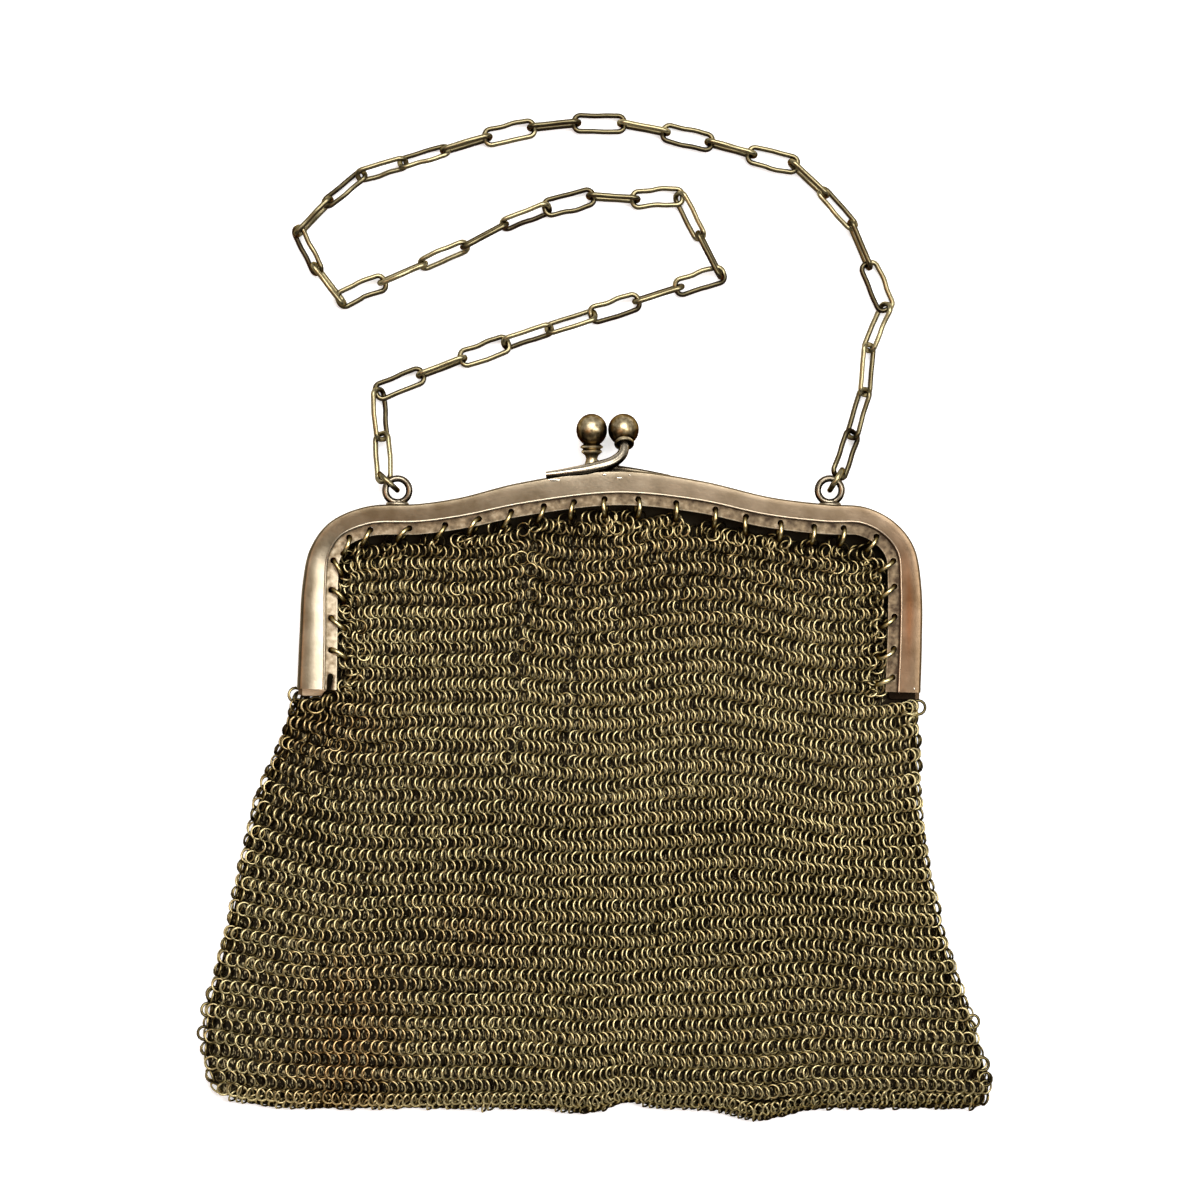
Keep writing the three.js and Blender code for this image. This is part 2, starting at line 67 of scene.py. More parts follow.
# Frame: two jaws of pressed sheet, mirrored about the parting plane
FRAME_DEPTH = 11.0
PARTING_GAP = 0.4
PARTING_Z = FRAME_DEPTH / 2
JAW_DEPTH = (FRAME_DEPTH - PARTING_GAP) / 2
SHEET = 0.8
FLANGE_WIDTH = 2.4
FLANGE_THICK = 0.7
FLANGE_DROP = 1.4
FRAME_STEPS = 200
CREASE = 38
PLATE_CREASE = 40
TURNED_CREASE = 50
BACK_ARM_EXTRA = 1.4
ARCH_DOME = 0.08
LEFT_ARM_DOME = 0.46
RIGHT_ARM_DOME = 0.12
# Painted highlight on the left arm's inner part and painted shade on the right arm's outer part
LEFT_ARM_SHEEN = 0.28
RIGHT_ARM_SHADE = 0.1

# Arms of the frame: start and fall of their share towards the arch; inner part of their band, painted with
# a highlight on the left arm, and outer part, painted with shade on the right arm: start and span in widths
# of the band
ARM_SHARE = (1.15, 1.3)
INNER_PART = (0.45, 0.25)
OUTER_PART = (0.1, 0.5)

# Section of a jaw: share of the band up to its crest and what the dome adds, height where the outer edge
# rounds over in parts of the depth, places on the band, way from the band's end to its bead
CREST_SHARE = (0.09, 0.16)
ROUND_FROM = 0.8
ROUND_STEPS = 9
BAND_PLACES = (0.3, 0.6, 0.85, 1)
BEAD_INSET = 0.42

# Bead on the lip, and the flange's start and rim: way in, rise, rub; the bead and the rim are worn edges
# that also carry a painted highlight line
BEAD = [(-0.34, 0.06, 0.9), (-0.2, 0.1, 1.1), (-0.06, 0.03, 1.1), (0, -0.15, 0.6), (0.01, -0.4, 0.05)]
FLANGE_START = [(0.03, 0, 0), (0.3, -0.02, 0.3)]
FLANGE_RIM = [(-0.25, 0, 0.45), (-0.08, -0.03, 0.95), (0, -0.12, 0.9)]

# Outer edge of the frame from the left arm over the arch to the right arm: x, y, width of the band
FRAME_EDGE = [
    (-59.6, -14, 5.5),
    (-59.1, -3, 5.2),
    (-58.5, 6.8, 4.7),
    (-57, 13.8, 4),
    (-53.2, 19, 3.6),
    (-46, 22.2, 3.6),
    (-35.2, 22.8, 3.7),
    (-27.2, 24, 3.8),
    (-15.2, 27, 4.3),
    (4, 29.5, 4.6),
    (20.8, 27.4, 4),
    (34.8, 24.1, 3.7),
    (46, 22.7, 3.6),
    (53.8, 22.1, 3.4),
    (59.6, 19.1, 3.4),
    (63.4, 14.2, 3.6),
    (64.9, 6, 4.3),
    (65, -5, 4.5),
    (64.7, -14.9, 4.6),
]

# Patina across the frame: x, shift of the rub on the band and on the flange, share of copper
FRAME_PATINA = np.array([
    (-59, -0.07, 0.36, 0),
    (-48, -0.13, 0.12, 0.06),
    (-30, -0.1, 0.06, 0.06),
    (0, 0.04, 0.06, 0.03),
    (20, 0, 0.04, 0.14),
    (45, -0.04, 0, 0.22),
    (58, -0.06, -0.05, 0.3),
    (64, -0.03, -0.1, 0.4),
])

# Painted warm reflection down the right arm, laid on as copper tint: y of its middle, half length, place
# across the band, half width, gain
WARM_REFLECTION_STREAK = (1.5, 9, 0.58, 0.17, 2)

# What is left on the flange of the copper tint and the painted warm reflection
FLANGE_COPPER_AND_REFLECTION = 0.12

# Ends of the back jaw's arms, which show below the front jaw: left x, right x, low y, material, rub,
# share of copper; the left one is painted bright against the arm's shade, and the right one's dark hole
# metal is painted shade
HINGE_LEAVES = {
    "left": (-59.3, -54, -15.7, "flange", 1.5, 0.04),
    "right": (58.4, 64.3, -16.4, "hole", 0.4, 0.1),
}
LEAF_HEIGHT = 3.0
LEAF_ROUND = 0.9
LEAF_STEPS = 7
LEAF_Z = (4.3, 5.2)
LEAF_BEVEL = 0.2
LEAF_CLEARANCE = 0.6

# Hanger rings through the holes of the flange: shift of each hole from even spacing
HOLE_SHIFTS = np.array([
    0.6, -0.5, -0.5, -1.3, -1.8, -2.5, -4.4, -3, -2.2, -1.8, -1.6, -1.4, -1.7, -2,
    -1.7, -0.5, 1, 0.9, 1.5, 1.8, 1.3, 1.8, 1.5, 0.2, -0.2, -0.2, -0.9,
])
HANGERS = len(HOLE_SHIFTS)
HOLE_RADIUS = 0.62
HOLE_INSET = 1.1
HOLE_END_MARGIN = 2.0
HOLE_EDGE = 0.08
HOLE_STRETCH = 0.01
HOLE_STEPS = 9
DRILL_HALF = 1.0
RIM_LOOKS = {"rub": 0.4, "tone": 0.5}
HANGER_RADIUS = 1.8
HANGER_WIRE = 0.9
HANGER_BUILD = (24, 8)
HANGER_DULL = 0.06

# How the hangers hang: x, drift aside on the arch; pull down, jitter, most tilt in degrees, seat
HANGER_DRIFT = ([-45, -15, 0, 30, 55], [-1.3, -1.3, 0, 0.1, -0.6])
HANGER_PULL = -0.6
HANGER_JITTER = 0.1
HANGER_TILT = 18
HANGER_SEAT = 0.1

# Slot from the left arm's last hole to the flange's end, which holds no hanger: end, half width
SLOT_END = (-53.35, -14.8)
SLOT_HALF = 0.36

# Pouch: y, left side, right side, thickness, share of the hem's wave
HINGE_Y = -16.6
POUCH_ROWS = np.array([
    (40, -60.9, 64.7, 8.6, 0),
    (HINGE_Y, -60.9, 64.7, 8.6, 0),
    (-24, -63.6, 65.3, 9, 0),
    (-36, -68.8, 65.5, 9.1, 0),
    (-50, -72.2, 67.3, 8.9, 0),
    (-64, -75.2, 70.6, 8.5, 0),
    (-78, -78.8, 75.4, 7.6, 0.1),
    (-88, -79.6, 78.4, 6.8, 0.4),
    (-94, -78.6, 79.8, 5.9, 0.7),
    (-97, -76.6, 79.2, 4.4, 0.9),
    (-98.6, -73.6, 77.4, 3, 1),
])[::-1]

# Waves of the hem: x, half width, depth
HEM_WAVES = [(-78, 10, -2.4), (-2, 5, 1), (7, 4, -1.2), (33, 7, 2.4)]

# Mail: rows of round rings that lean to the right and to the left in turn
RING_RADIUS = 1.34
RING_WIRE = 0.5
MAIL_SIZE = (RING_RADIUS, RING_WIRE)
ROW_PITCH = 2.41
TOP_ROW_Y = 19.4
BOTTOM_ROW_Y = -97.0
WALL_MIDDLE = 1.35
POUCH_MIDDLE_X = 1.9
NOMINAL_HALF = 64.0
LEAST_BEND = 0.05
COLUMNS_TO_SIDE = 47
TABLE_GAP = 0.02

# How far the front's columns run round the sides and up inside the frame, where the back's flaps begin,
# the flaps' gap to the flange on the arms and what the arch adds
FRONT_ROUND = 1.02
FLAP_FRONT = 0.92
FLAP_BACK = 1.08
FLAP_GAP = (0.95, 1)

# Wear of a ring's high side and painted shade on its low side: height from -1 to 1, rub; rings that lie
# flatter than a share of their radius reach less far, and those round the pouch's sides get painted shade
RING_WEAR_AND_SHADE = ([-1, -0.5, 0, 0.35, 1], [-0.2, 0, 0.38, 0.5, 0.85])
RING_FLAT = 0.5
SIDE_SHADE = 0.42

# Painted light on rings that lean to the right: painted highlight right of a line, painted shade left of
# it:
# x, span, most
PAINTED_LEAN_LIGHT = (-16, 5, 0.45)

# How flat the rings lie: pitches of the columns, cosines of the lean there
LEAN_BY_PITCH = ([1.2, 2], [0.8, 0.88])

# Chance in the rings' lean, nod and place; gain, start and span in y of a wilder top
LEAN_JITTER = 0.12
NOD_JITTER = 0.1
PLACE_JITTER = 0.1
WILD_TOP = (0.8, -10, 25)

# Tangle below the left hinge: x, y, half width, half height, how much wilder the rings lie
HINGE_TANGLE = (-57, -25, 8, 9, 2.6)

# Rings' segments and sides of their wire
FRONT_RING = (14, 4)
BACK_RING = (11, 3)

# Rows of steep rings along the hem: rise above its lowest line, z, slope and lean in degrees
HEM_ROWS = [(1.1, 1.4, 50, 35), (2.3, 2.4, 36, -40)]
HEM_PITCH = 1.36
HEM_MARGIN = 1.0
HEM_JITTER = 0.12
HEM_SWING = 0.2
# Painted shade on the hem's rings
HEM_SHADE = 0.2

# Messy rings under each hanger: way on from its end, way aside; their level, jitter, turn and lean
EDGE_SPOTS = [(0.2, -0.9), (0.3, 0.8), (1.3, 0.1), (1.6, -1.6), (1.7, 1.7)]
EDGE_JITTER = 0.4
EDGE_LEVEL = (7.6, 0.25)
EDGE_TURN = 28
EDGE_LEAN = (40, 14)
# Painted shade on these messy rings
EDGE_SHADE = 0.18

# Patina of the mail in soft patches, and painted shade in the fold below the left hinge: x, y, half width,
# half height, shift of the rub, share of copper
MAIL_PATCHES_AND_SHADE = np.array([
    (20, -55, 45, 25, 0.04, 0),
    (0, 12, 65, 14, -0.28, 0.15),
    (0, -86, 75, 18, 0.2, 0),
    (-62, -60, 14, 16, 0.14, 0),
    # These two paint the shade of the fold below the left hinge
    (-56, -22, 9, 6, -0.35, 0.25),
    (-61, -33, 7, 11, -0.3, 0.1),
    (-48, -22, 10, 8, -0.1, 0.17),
    (-24, -63, 10, 8, -0.08, 0.22),
    (-48, -74, 10, 10, -0.1, 0.28),
    (-51, -90, 11, 11, -0.2, 0.5),
])

# Gathers in the upper half of the front: x at the top, x at the bottom, end y, half gap
GATHERS = [(-13, -17.6, -40, 0.75), (-4.6, -5, -34, 0.65), (3.4, 3, -14, 0.35)]
GATHER_TOP = 20.0
GATHER_REACH = 4.5
GATHER_FADE = 12.0

# Rows drawn up to the left hinge: y, rise; start and span in x
DRAWN_UP = ([-97, -88, -45, -24, -15], [0, 3.2, 11, 6, 0])
DRAWN_SIDE = (-41, -36)

# Rows that sag on the right: y, rise; x, half width
ROW_SAG = ([-97, -80, -60, -40, 10], [0, 0, -0.2, -2.2, -1.9])
SAG_SIDE = (52, 14)

# Small waves of the rows: height, way along x, way along y
ROW_WAVES = [(0.2, 9, 23), (0.2, 4, -7)]

# Ripples of the front: height, way along x, swing, way of the swing, way along y, start
RIPPLE = (0.22, 7, 0.7, 9, 8, 1.1)

# Crests of the front's rows: x, half width, heights at the levels; the first gather has a pointed one
CREST_LEVELS = [-97, -86, -66, -36, -6, 6]
ROW_CRESTS = [
    (-36, 22, [0, 1, 1.5, 0.2, 0.8, 1]),
    (21, 14, [0, 0.6, 1, 1.3, 2.2, 2.6]),
    (40, 14, [0, 1.4, 1.8, 0.2, 0, 0]),
]
GATHER_CREST = [0, 0, 0, 0.5, 1.8, 2]
CREST_REACH = 6.0

# Single rings at the pouch's edges and hinges: x, y, z or none for the edge's own, radius,
# turn of the long way from y, lean, both in degrees
LOOSE_WIRE = 0.6
LOOSE_RISE = 1.0
# Painted shade on the loose rings, most on those at the edges
LOOSE_SHADE = {"edge": 0.6, "hinge": 0.1}
LOOSE_RINGS = [
    (-76.6, -75.2, None, 1.34, 0, 10),
    (-77.7, -78.4, None, 1.34, 0, 18),
    (-78.4, -83.1, None, 1.34, 0, 8),
    (64.5, -17.9, None, 1.4, 0, 8),
    (62.7, -18.6, 7.6, 1.4, 82, 66),
    (63.2, -20.6, 7.4, 1.34, -24, 58),
    (69.2, -72.4, None, 1.34, 0, 25),
    (75.4, -80.8, None, 1.34, 0, 12),
    (77.4, -89.4, None, 1.34, 0, 10),
    (78, -92.4, None, 1.34, 0, 15),
    (-60.2, -15.4, 4.4, 1.4, 0, 20),
    (-55.9, -17.4, 9, 1.8, 90, 28),
    (-55.2, -17.5, 8.8, 1.3, -50, 52),
    (-53.6, -16.7, 8.9, 1.55, -12, 50),
    (-52.8, -16.5, 8.9, 1.55, -16, 56),
]

# Dark sheet of painted shade inside the mail: thickness, inset from the sides and the hem, way from the
# frame's edge where its painted glints begin and are full, reach under the flange
SHADE_SHEET_THICK = 0.3
SHADE_SHEET_INSET = 1.3
SHADE_SHEET_HEM_INSET = 0.2
GLINTS_FROM = (4.5, 7.5)
SHADE_SHEET_UNDER_FLANGE = 2.1
SHADE_SHEET_COLUMNS = 110
SHADE_SHEET_ROWS = 90

# How high the sheet of painted shade lies: y, z
SHADE_SHEET_LEVELS = ([-98, -93, -42, -22], [0.32, 1.1, 1.2, 4.3])

# Clasp: balls with their necks as profiles along each ball's axis: way along, radius, rub, which paints
# highlights on the neck's rims; stems as x, y, z, radius, with their rub at mid height and the painted
# highlight they gain on the upper side, painted shade on the lower side
BALL_RADIUS = 3.1
BALL_STRETCH = 1.06
CLASP = {
    "front": {
        "ball": (5.5, 37.7, 5.5),
        "foot": (5.62, 35, 7.5),
        "stem_sheen_and_shade": (0.5, 1),
        "neck": [
            (-3.3, 0.1, 0), (-3.35, 1.3, 0), (-3.75, 1.62, 0.2), (-3.9, 1.78, 0.3),
            (-3.82, 1.95, 0.4), (-3.55, 2.02, 0.9), (-3.1, 1.85, 0.9), (-2.75, 1.62, 0.2),
        ],
        "stem": [
            (-10, 28.55, 10.4, 0.66), (-7.4, 28.8, 10.4, 0.84), (-5, 29.1, 10.4, 1),
            (-1.8, 29.55, 10.3, 1.2), (0.4, 30.1, 10.2, 1.22), (2.8, 30.85, 9.8, 1.2),
            (4.5, 31.9, 9.2, 1.12), (5.35, 33, 8.7, 1.05), (5.65, 34.3, 8.1, 0.98),
            (5.66, 35.5, 7.2, 0.86),
        ],
    },
    "back": {
        "ball": (-0.86, 37.6, 5.5),
        "foot": (-0.86, 33.7, 5.45),
        "stem_sheen_and_shade": (0.15, 0.3),
        "neck": [
            (-6.9, 1.5, 0.7), (-6.3, 1.25, 0.6), (-5.7, 1.12, 0.55), (-5.1, 1.34, 0.5),
            (-4.75, 1.75, 0.5), (-4.5, 2.02, 0.85), (-4.28, 2.1, 0.95), (-4.08, 1.98, 0.8),
            (-3.92, 1.74, 0.35), (-3.76, 1.8, 0.35), (-3.62, 2.16, 0.85), (-3.42, 2.32, 0.95),
            (-3.2, 2.2, 0.7), (-3.02, 1.92, 0.4), (-2.8, 1.7, 0.3),
        ],
        "stem": [
            (14.8, 28.3, 3.8, 0.4), (9.6, 29.2, 3.8, 0.55), (4.4, 29.9, 3.8, 0.7),
            (1.6, 30.2, 3.8, 0.9), (0, 30.6, 4.2, 1.15), (-0.7, 31.2, 4.9, 1.1),
        ],
    },
}

# Painted reflection on a ball from below to above, dark just below its middle: way from its middle in
# radii, rub
BALL_PAINTED_REFLECTION = ([-1, -0.8, -0.55, -0.15, 0.1, 0.5], [0.4, 0.35, 0.08, 0.1, 0.4, 0.55])
BALL_SIDES = 40
BALL_STEPS = 22
BALL_POLE = 0.03
STEM_SIDES = 18
STEM_STEPS = 48

# Worn solder on the arch below the clasp, and as the last spot a painted highlight on the right arm's lower
# end: x, y, half length, half width
SOLDER_SPOTS = [
    (-8.4, 27.5, 1.5, 0.35),
    (1.66, 28.55, 0.55, 0.28),
    (4.6, 27.9, 0.75, 0.25),
    (6.7, 28.5, 0.3, 0.22),
    (63.4, -14.1, 0.2, 0.32),
]
SOLDER_RISE = 0.22
SOLDER_SINK = 0.12

# Drops of solder: sides, steps from pole to pole, size of the poles
BLOB_BUILD = (16, 10, 0.02)

# Chain eyes: x, y, y of the solder foot
EYE_RADIUS = 2.38
EYE_WIRE = 1.35
EYE_Z = 6.9
EYE_RUB = 0.32
EYE_FOOT = (2.3, 0.75, 1.3)
EYE_TURN = (-112, 292, 56)
EYE_SIDES = 12
EYE_CROSSING = 0.3
EYE_TIP = 0.7
EYES = {"left": (-39.7, 25.5, 22.8), "right": (46.7, 25.5, 22.7)}

# Chain links and jump rings
LINK_LENGTH = 11.1
LINK_WIDTH = 4.3
LINK_WIRE = 1.05
LINK_CORNER = 1.25
LINK_WAVE = 0.16
LINK_SIDES = 10
LINK_STEPS = (7, 9)
# Painted shade on the long sides of the links, random per side
LINK_SIDE_SHADE = 0.7
JUMP_RADIUS = 2.4
JUMP_WIRE = 1.1
JUMP_BUILD = (36, 10)

# Rub and painted light of a link: plain rub, painted highlight towards the wire's upper side in y with
# painted shade below, painted highlight on a tilted link's high side
LINK_RUB_AND_SHEEN = (0.76, 0.25, 0.4)

# Hinge pins, filed flush with the arms: profile of way along, radius
PIN_PROFILE = [(3.6, 0.02), (3.6, 0.9), (0.12, 0.9), (0, 0.78), (0, 0.02)]
PIN_SIDES = 24
PIN_RUB = 0.4
PINS = {"left": (-59.6, -12, 1), "right": (64.7, -12.9, -1)}

# Colours, from the dark of the recesses and painted shade to the rubbed crowns and painted highlights
PALETTES = {
    "frame": [(0.03, 0.02, 0.011), (0.14, 0.107, 0.064), (0.44, 0.375, 0.275)],
    "flange": [(0.06, 0.042, 0.028), (0.24, 0.184, 0.114), (0.6, 0.515, 0.37)],
    # hole: painted shade for the walls of the flange's holes and for the right hinge leaf
    "hole": [(0.01, 0.007, 0.005), (0.03, 0.02, 0.012), (0.06, 0.04, 0.02)],
    "ball": [(0.028, 0.019, 0.01), (0.18, 0.13, 0.064), (0.6, 0.5, 0.32)],
    "mail": [(0.03, 0.022, 0.01), (0.26, 0.203, 0.084), (0.58, 0.485, 0.25)],
    "hanger": [(0.06, 0.043, 0.014), (0.34, 0.26, 0.095), (0.74, 0.62, 0.32)],
    "chain": [(0.026, 0.018, 0.012), (0.105, 0.085, 0.043), (0.32, 0.27, 0.15)],
    "fitting": [(0.01, 0.007, 0.005), (0.11, 0.087, 0.056), (0.42, 0.36, 0.27)],
    "bright": [(0.45, 0.38, 0.28), (0.74, 0.66, 0.53), (0.9, 0.84, 0.72)],
}

# Colour of the metal seen at a flat angle: dulled by tarnish, half worn, worn
DULL_EDGE = (0.36, 0.29, 0.2, 1)
HALF_EDGE = (0.46, 0.38, 0.27, 1)
WORN_EDGE = (0.72, 0.64, 0.5, 1)

# Metals: roughness, size of the patches and of the grain, depth of the grain, painted crown highlight,
# mottle, edge
METALS = {
    "frame": ((0.24, 0.44), 5, 0.5, 0.03, 0.4, 0.45, WORN_EDGE),
    "flange": ((0.34, 0.6), 1.1, 0.4, 0.05, 0, 1.2, DULL_EDGE),
    "hole": ((0.5, 0.8), 2, 0.4, 0.05, 0, 0.5, DULL_EDGE),
    "ball": ((0.26, 0.46), 0.8, 0.3, 0.05, 1, 1, DULL_EDGE),
    "fitting": ((0.2, 0.34), 3, 0.8, 0.015, 0.8, 0.4, HALF_EDGE),
    "mail": ((0.28, 0.5), 14, 0.5, 0.03, 0.9, 0.5, DULL_EDGE),
    "hanger": ((0.22, 0.4), 5, 0.4, 0.03, 0.7, 0.5, DULL_EDGE),
    "chain": ((0.24, 0.36), 6, 1.5, 0.01, 0.65, 0.4, HALF_EDGE),
    "bright": ((0.12, 0.25), 1, 0.3, 0.03, 0, 0.5, DULL_EDGE),
}

# Stops of the palettes, spread of the tone, and how far up a face looks where its painted crown highlight
# begins
RUB_STOPS = (0.12, 0.5, 0.95)
TONE_SPREAD = 0.3
PAINTED_CROWN_FROM = 0.6

# What copper patina and the painted warm reflection leave of the red, green and blue
COPPER_AND_REFLECTION_TINT = (1, 0.62, 0.44, 1)

# Painted shade inside the mail and painted glints of inner rings: dark, glints, size of a glint, stops
# between them
PAINTED_SHADE_DARK = (0.024, 0.018, 0.01)
PAINTED_GLINT = (0.8, 0.66, 0.36)
GLINT_SIZE = (0.35, 0.9, 0.9)
GLINT_STOPS = (0.56, 0.67)

# Sky from the hem's side to the clasp's side: stops, greys, tint
SKY_STOPS = (0.2, 0.42, 0.6, 1)
SKY_GREYS = (0.03, 0.1, 0.42, 0.35)
SKY_TINT = np.array([1, 0.985, 0.95])

# Soft boxes: place, size, power, colour
WHITE = (1, 1, 1)
LIGHTS = {
    "key_light": ((0, 600, 1000), (800, 500), 12, WHITE),
    "right_light": ((560, 60, 1000), (350, 800), 7, WHITE),
    "left_light": ((-480, -40, 1000), (250, 600), 1.6, (1, 0.55, 0.3)),
    "hem_light": ((0, -900, 600), (1200, 120), 1.2, WHITE),
}

# Looks of a piece's points where none are given
PLAIN_LOOKS = {"rub": 0.55, "tone": 0.5, "copper": 0.0}


def to_row(points):
    """Points of the drawing in the frame's metres."""
    return (np.asarray(points, float) + DRAWN_ORIGIN) * MM


def unit(vectors):
    return vectors / np.linalg.norm(vectors, axis=-1, keepdims=True)


def smoothstep(t):
    t = np.clip(t, 0.0, 1.0)
    return t * t * (3 - 2 * t)


def blend(t, start, span):
    """Smooth share, from 0 to 1, of a span that lies behind."""
    return smoothstep((t - start) / span)


def bell(t, middle, width):
    """Soft hump of height 1."""
    return np.exp(-(((t - middle) / width) ** 2))


def full_turn(steps):
    return np.arange(steps) * 2 * math.pi / steps


def spokes(across, over, count):
    """Directions all round, between two that stand square to each other."""
    turn = full_turn(count)
    return np.cos(turn)[:, None] * across[..., None, :] + np.sin(turn)[:, None] * over[..., None, :]


def at_level(flat, z):
    return np.column_stack([flat, np.full(len(flat), z)])


def add_object(name, data):
    made = bpy.data.objects.new(name, data)
    bpy.context.scene.collection.objects.link(made)
    return made


# Node materials


def set_inputs(node, **inputs):
    """Links or sets a node's inputs, by number as i0, or by name with _ for a space."""
    for key, value in inputs.items():
        entry = node.inputs[int(key[1:])] if key[1:].isdigit() else node.inputs[key.replace("_", " ")]
        if isinstance(value, bpy.types.NodeSocket):
            node.id_data.links.new(value, entry)
        else:
            entry.default_value = value


def add_node(tree, kind, settings=None, **inputs):
    """A shader node with its settings and inputs."""
    made = tree.nodes.new(kind)
    for key, value in (settings or {}).items():
        setattr(made, key, value)
    set_inputs(made, **inputs)
    return made


def add_math(tree, operation, *values):
    inputs = {"i%d" % k: value for k, value in enumerate(values)}
    return add_node(tree, "ShaderNodeMath", {"operation": operation}, **inputs).outputs[0]


def add_ramp(tree, level, positions, colours):
    """Colour ramp with its stops from low to high."""
    made = add_node(tree, "ShaderNodeValToRGB", Fac=level)
    stops = made.color_ramp.elements
    for position in positions[1:-1]:
        stops.new(position)
    for stop, position, colour in zip(stops, positions, colours):
        stop.position = position
        stop.color = (*colour, 1.0)
    return made.outputs["Color"]


def point_value(tree, name):
    """Value that the points of a mesh carry."""
    return add_node(tree, "ShaderNodeAttribute", {"attribute_name": name}).outputs["Fac"]


def new_material(name):
    """A material, its nodes and its shader."""
    made = bpy.data.materials.new(name)
    made.use_nodes = True
    return made, made.node_tree, made.node_tree.nodes["Principled BSDF"]


def metal(palette):
    """Tarnished metal: dark in recesses, bright where it is rubbed and where light is painted on, with
    patches and fine grain.

    The painted crown adds a painted highlight to faces that look up out of the front and painted shade to
    faces that look aside, and the mottle says how much the patches differ.
    """
    roughness, patch_mm, grain_mm, bump_mm, painted_crown, mottle, edge = METALS[palette]
    made, tree, shader = new_material(palette + "_metal")
    coordinates = add_node(tree, "ShaderNodeTexCoord").outputs
    place = coordinates["Object"]
    patches = add_node(tree, "ShaderNodeTexNoise", Vector=place, Scale=1 / (patch_mm * MM), Detail=5.0)
    grain = add_node(tree, "ShaderNodeTexNoise", Vector=place, Scale=1 / (grain_mm * MM), Detail=3.0)
    spread = add_math(tree, "MULTIPLY_ADD", patches.outputs["Fac"], mottle, -mottle / 2)
    shift = add_math(tree, "MULTIPLY_ADD", point_value(tree, "tone"), TONE_SPREAD, -TONE_SPREAD / 2)
    # The points' rub carries wear together with painted highlights and painted shade
    level = add_math(tree, "ADD", add_math(tree, "ADD", point_value(tree, "rub"), spread), shift)
    # Painted crown: a painted highlight on faces that look up, painted shade on faces that look aside
    facing = add_node(tree, "ShaderNodeSeparateXYZ", Vector=coordinates["Normal"]).outputs["Z"]
    above = add_math(tree, "SUBTRACT", add_math(tree, "ABSOLUTE", facing), PAINTED_CROWN_FROM)
    level = add_math(tree, "ADD", level, add_math(tree, "MULTIPLY", above, painted_crown))
    colour = add_ramp(tree, level, RUB_STOPS, PALETTES[palette])
    warm = add_node(
        tree, "ShaderNodeMix", {"data_type": "RGBA", "blend_type": "MULTIPLY"},
        i0=point_value(tree, "copper"), i6=colour, i7=COPPER_AND_REFLECTION_TINT,
    )
    height = grain.outputs["Fac"]
    finish = add_node(tree, "ShaderNodeMapRange", Value=height, To_Min=roughness[0], To_Max=roughness[1])
    bump = add_node(tree, "ShaderNodeBump", Height=height, Distance=bump_mm * MM, Strength=0.5)
    set_inputs(shader, Base_Color=warm.outputs[2], Roughness=finish.outputs["Result"])
    set_inputs(shader, Normal=bump.outputs["Normal"], Metallic=1.0, Specular_Tint=edge)
    return made


def painted_shade_inside():
    """Painted shade inside the mail, with upright painted glints where inner rings would catch the light.
    """
    made, tree, shader = new_material("painted_shade_inside")
    place = add_node(tree, "ShaderNodeTexCoord").outputs["Object"]
    scale = [1 / (size * MM) for size in GLINT_SIZE]
    stretched = add_node(tree, "ShaderNodeVectorMath", {"operation": "MULTIPLY"}, i0=place, i1=scale)
    noise = add_node(tree, "ShaderNodeTexNoise", Vector=stretched.outputs[0], Scale=1.0, Detail=1.0)
    level = add_math(tree, "MULTIPLY", noise.outputs["Fac"], point_value(tree, "rub"))
    colour = add_ramp(tree, level, GLINT_STOPS, (PAINTED_SHADE_DARK, PAINTED_GLINT))
    set_inputs(shader, Base_Color=colour, Roughness=0.95, Specular_IOR_Level=0.1)
    return made


MATERIALS = {palette: metal(palette) for palette in METALS}
MATERIALS["shade_sheet"] = painted_shade_inside()

# What pieces are made as: material, slot of the record, nodes that they replace
MAIL = ("mail", "mail_metal", ["mail_pouch"])
HANGER = ("hanger", "mail_metal", ["mail_pouch"])
SHADE_SHEET = ("shade_sheet", "mail_metal", ["mail_pouch"])


def as_frame(material, node):
    return material, "frame_metal", [node]


def as_chain(node):
    return "chain", "chain_metal", [node]


# Pieces


def new_mesh(name, points, faces):
    """A mesh of points of the drawing, with its faces turned outward."""
    mesh = bpy.data.meshes.new(name)
    mesh.from_pydata(to_row(points).tolist(), [], faces)
    shape = bmesh.new()
    shape.from_mesh(mesh)
    bmesh.ops.recalc_face_normals(shape, faces=shape.faces)
    shape.to_mesh(mesh)
    shape.free()
    return mesh


def add_piece(name, shape, made_as, crease=None, **looks):
    """A shape of points and faces that rides on the purse and stands for the nodes it replaces."""
    material, slot, nodes = made_as
    mesh = new_mesh(name, *shape)
    for key, values in {**PLAIN_LOOKS, **looks}.items():
        layer = mesh.attributes.new(key, "FLOAT", "POINT")
        layer.data.foreach_set("value", np.broadcast_to(values, len(shape[0])).astype(np.float32))
    mesh.polygons.foreach_set("use_smooth", np.ones(len(mesh.polygons), bool))
    if crease:
        mesh.set_sharp_from_angle(angle=math.radians(crease))
    mesh.materials.append(MATERIALS[material])
    piece = add_object(name, mesh)
    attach(piece, "root")
    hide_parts(*nodes)
    return piece


def loft_faces(count, sides, closed):
    """Quads between rings of points; an open loft gets its two ends."""
    spans = count if closed else count - 1
    r, k = np.meshgrid(np.arange(spans), np.arange(sides), indexing="ij")
    here = r * sides
    there = (r + 1) % count * sides
    after = (k + 1) % sides
    faces = np.stack([here + k, here + after, there + after, there + k], -1).reshape(-1, 4).tolist()
    if not closed:
        faces.append(list(range(sides)))
        faces.append(list(range((count - 1) * sides, count * sides)))
    return faces


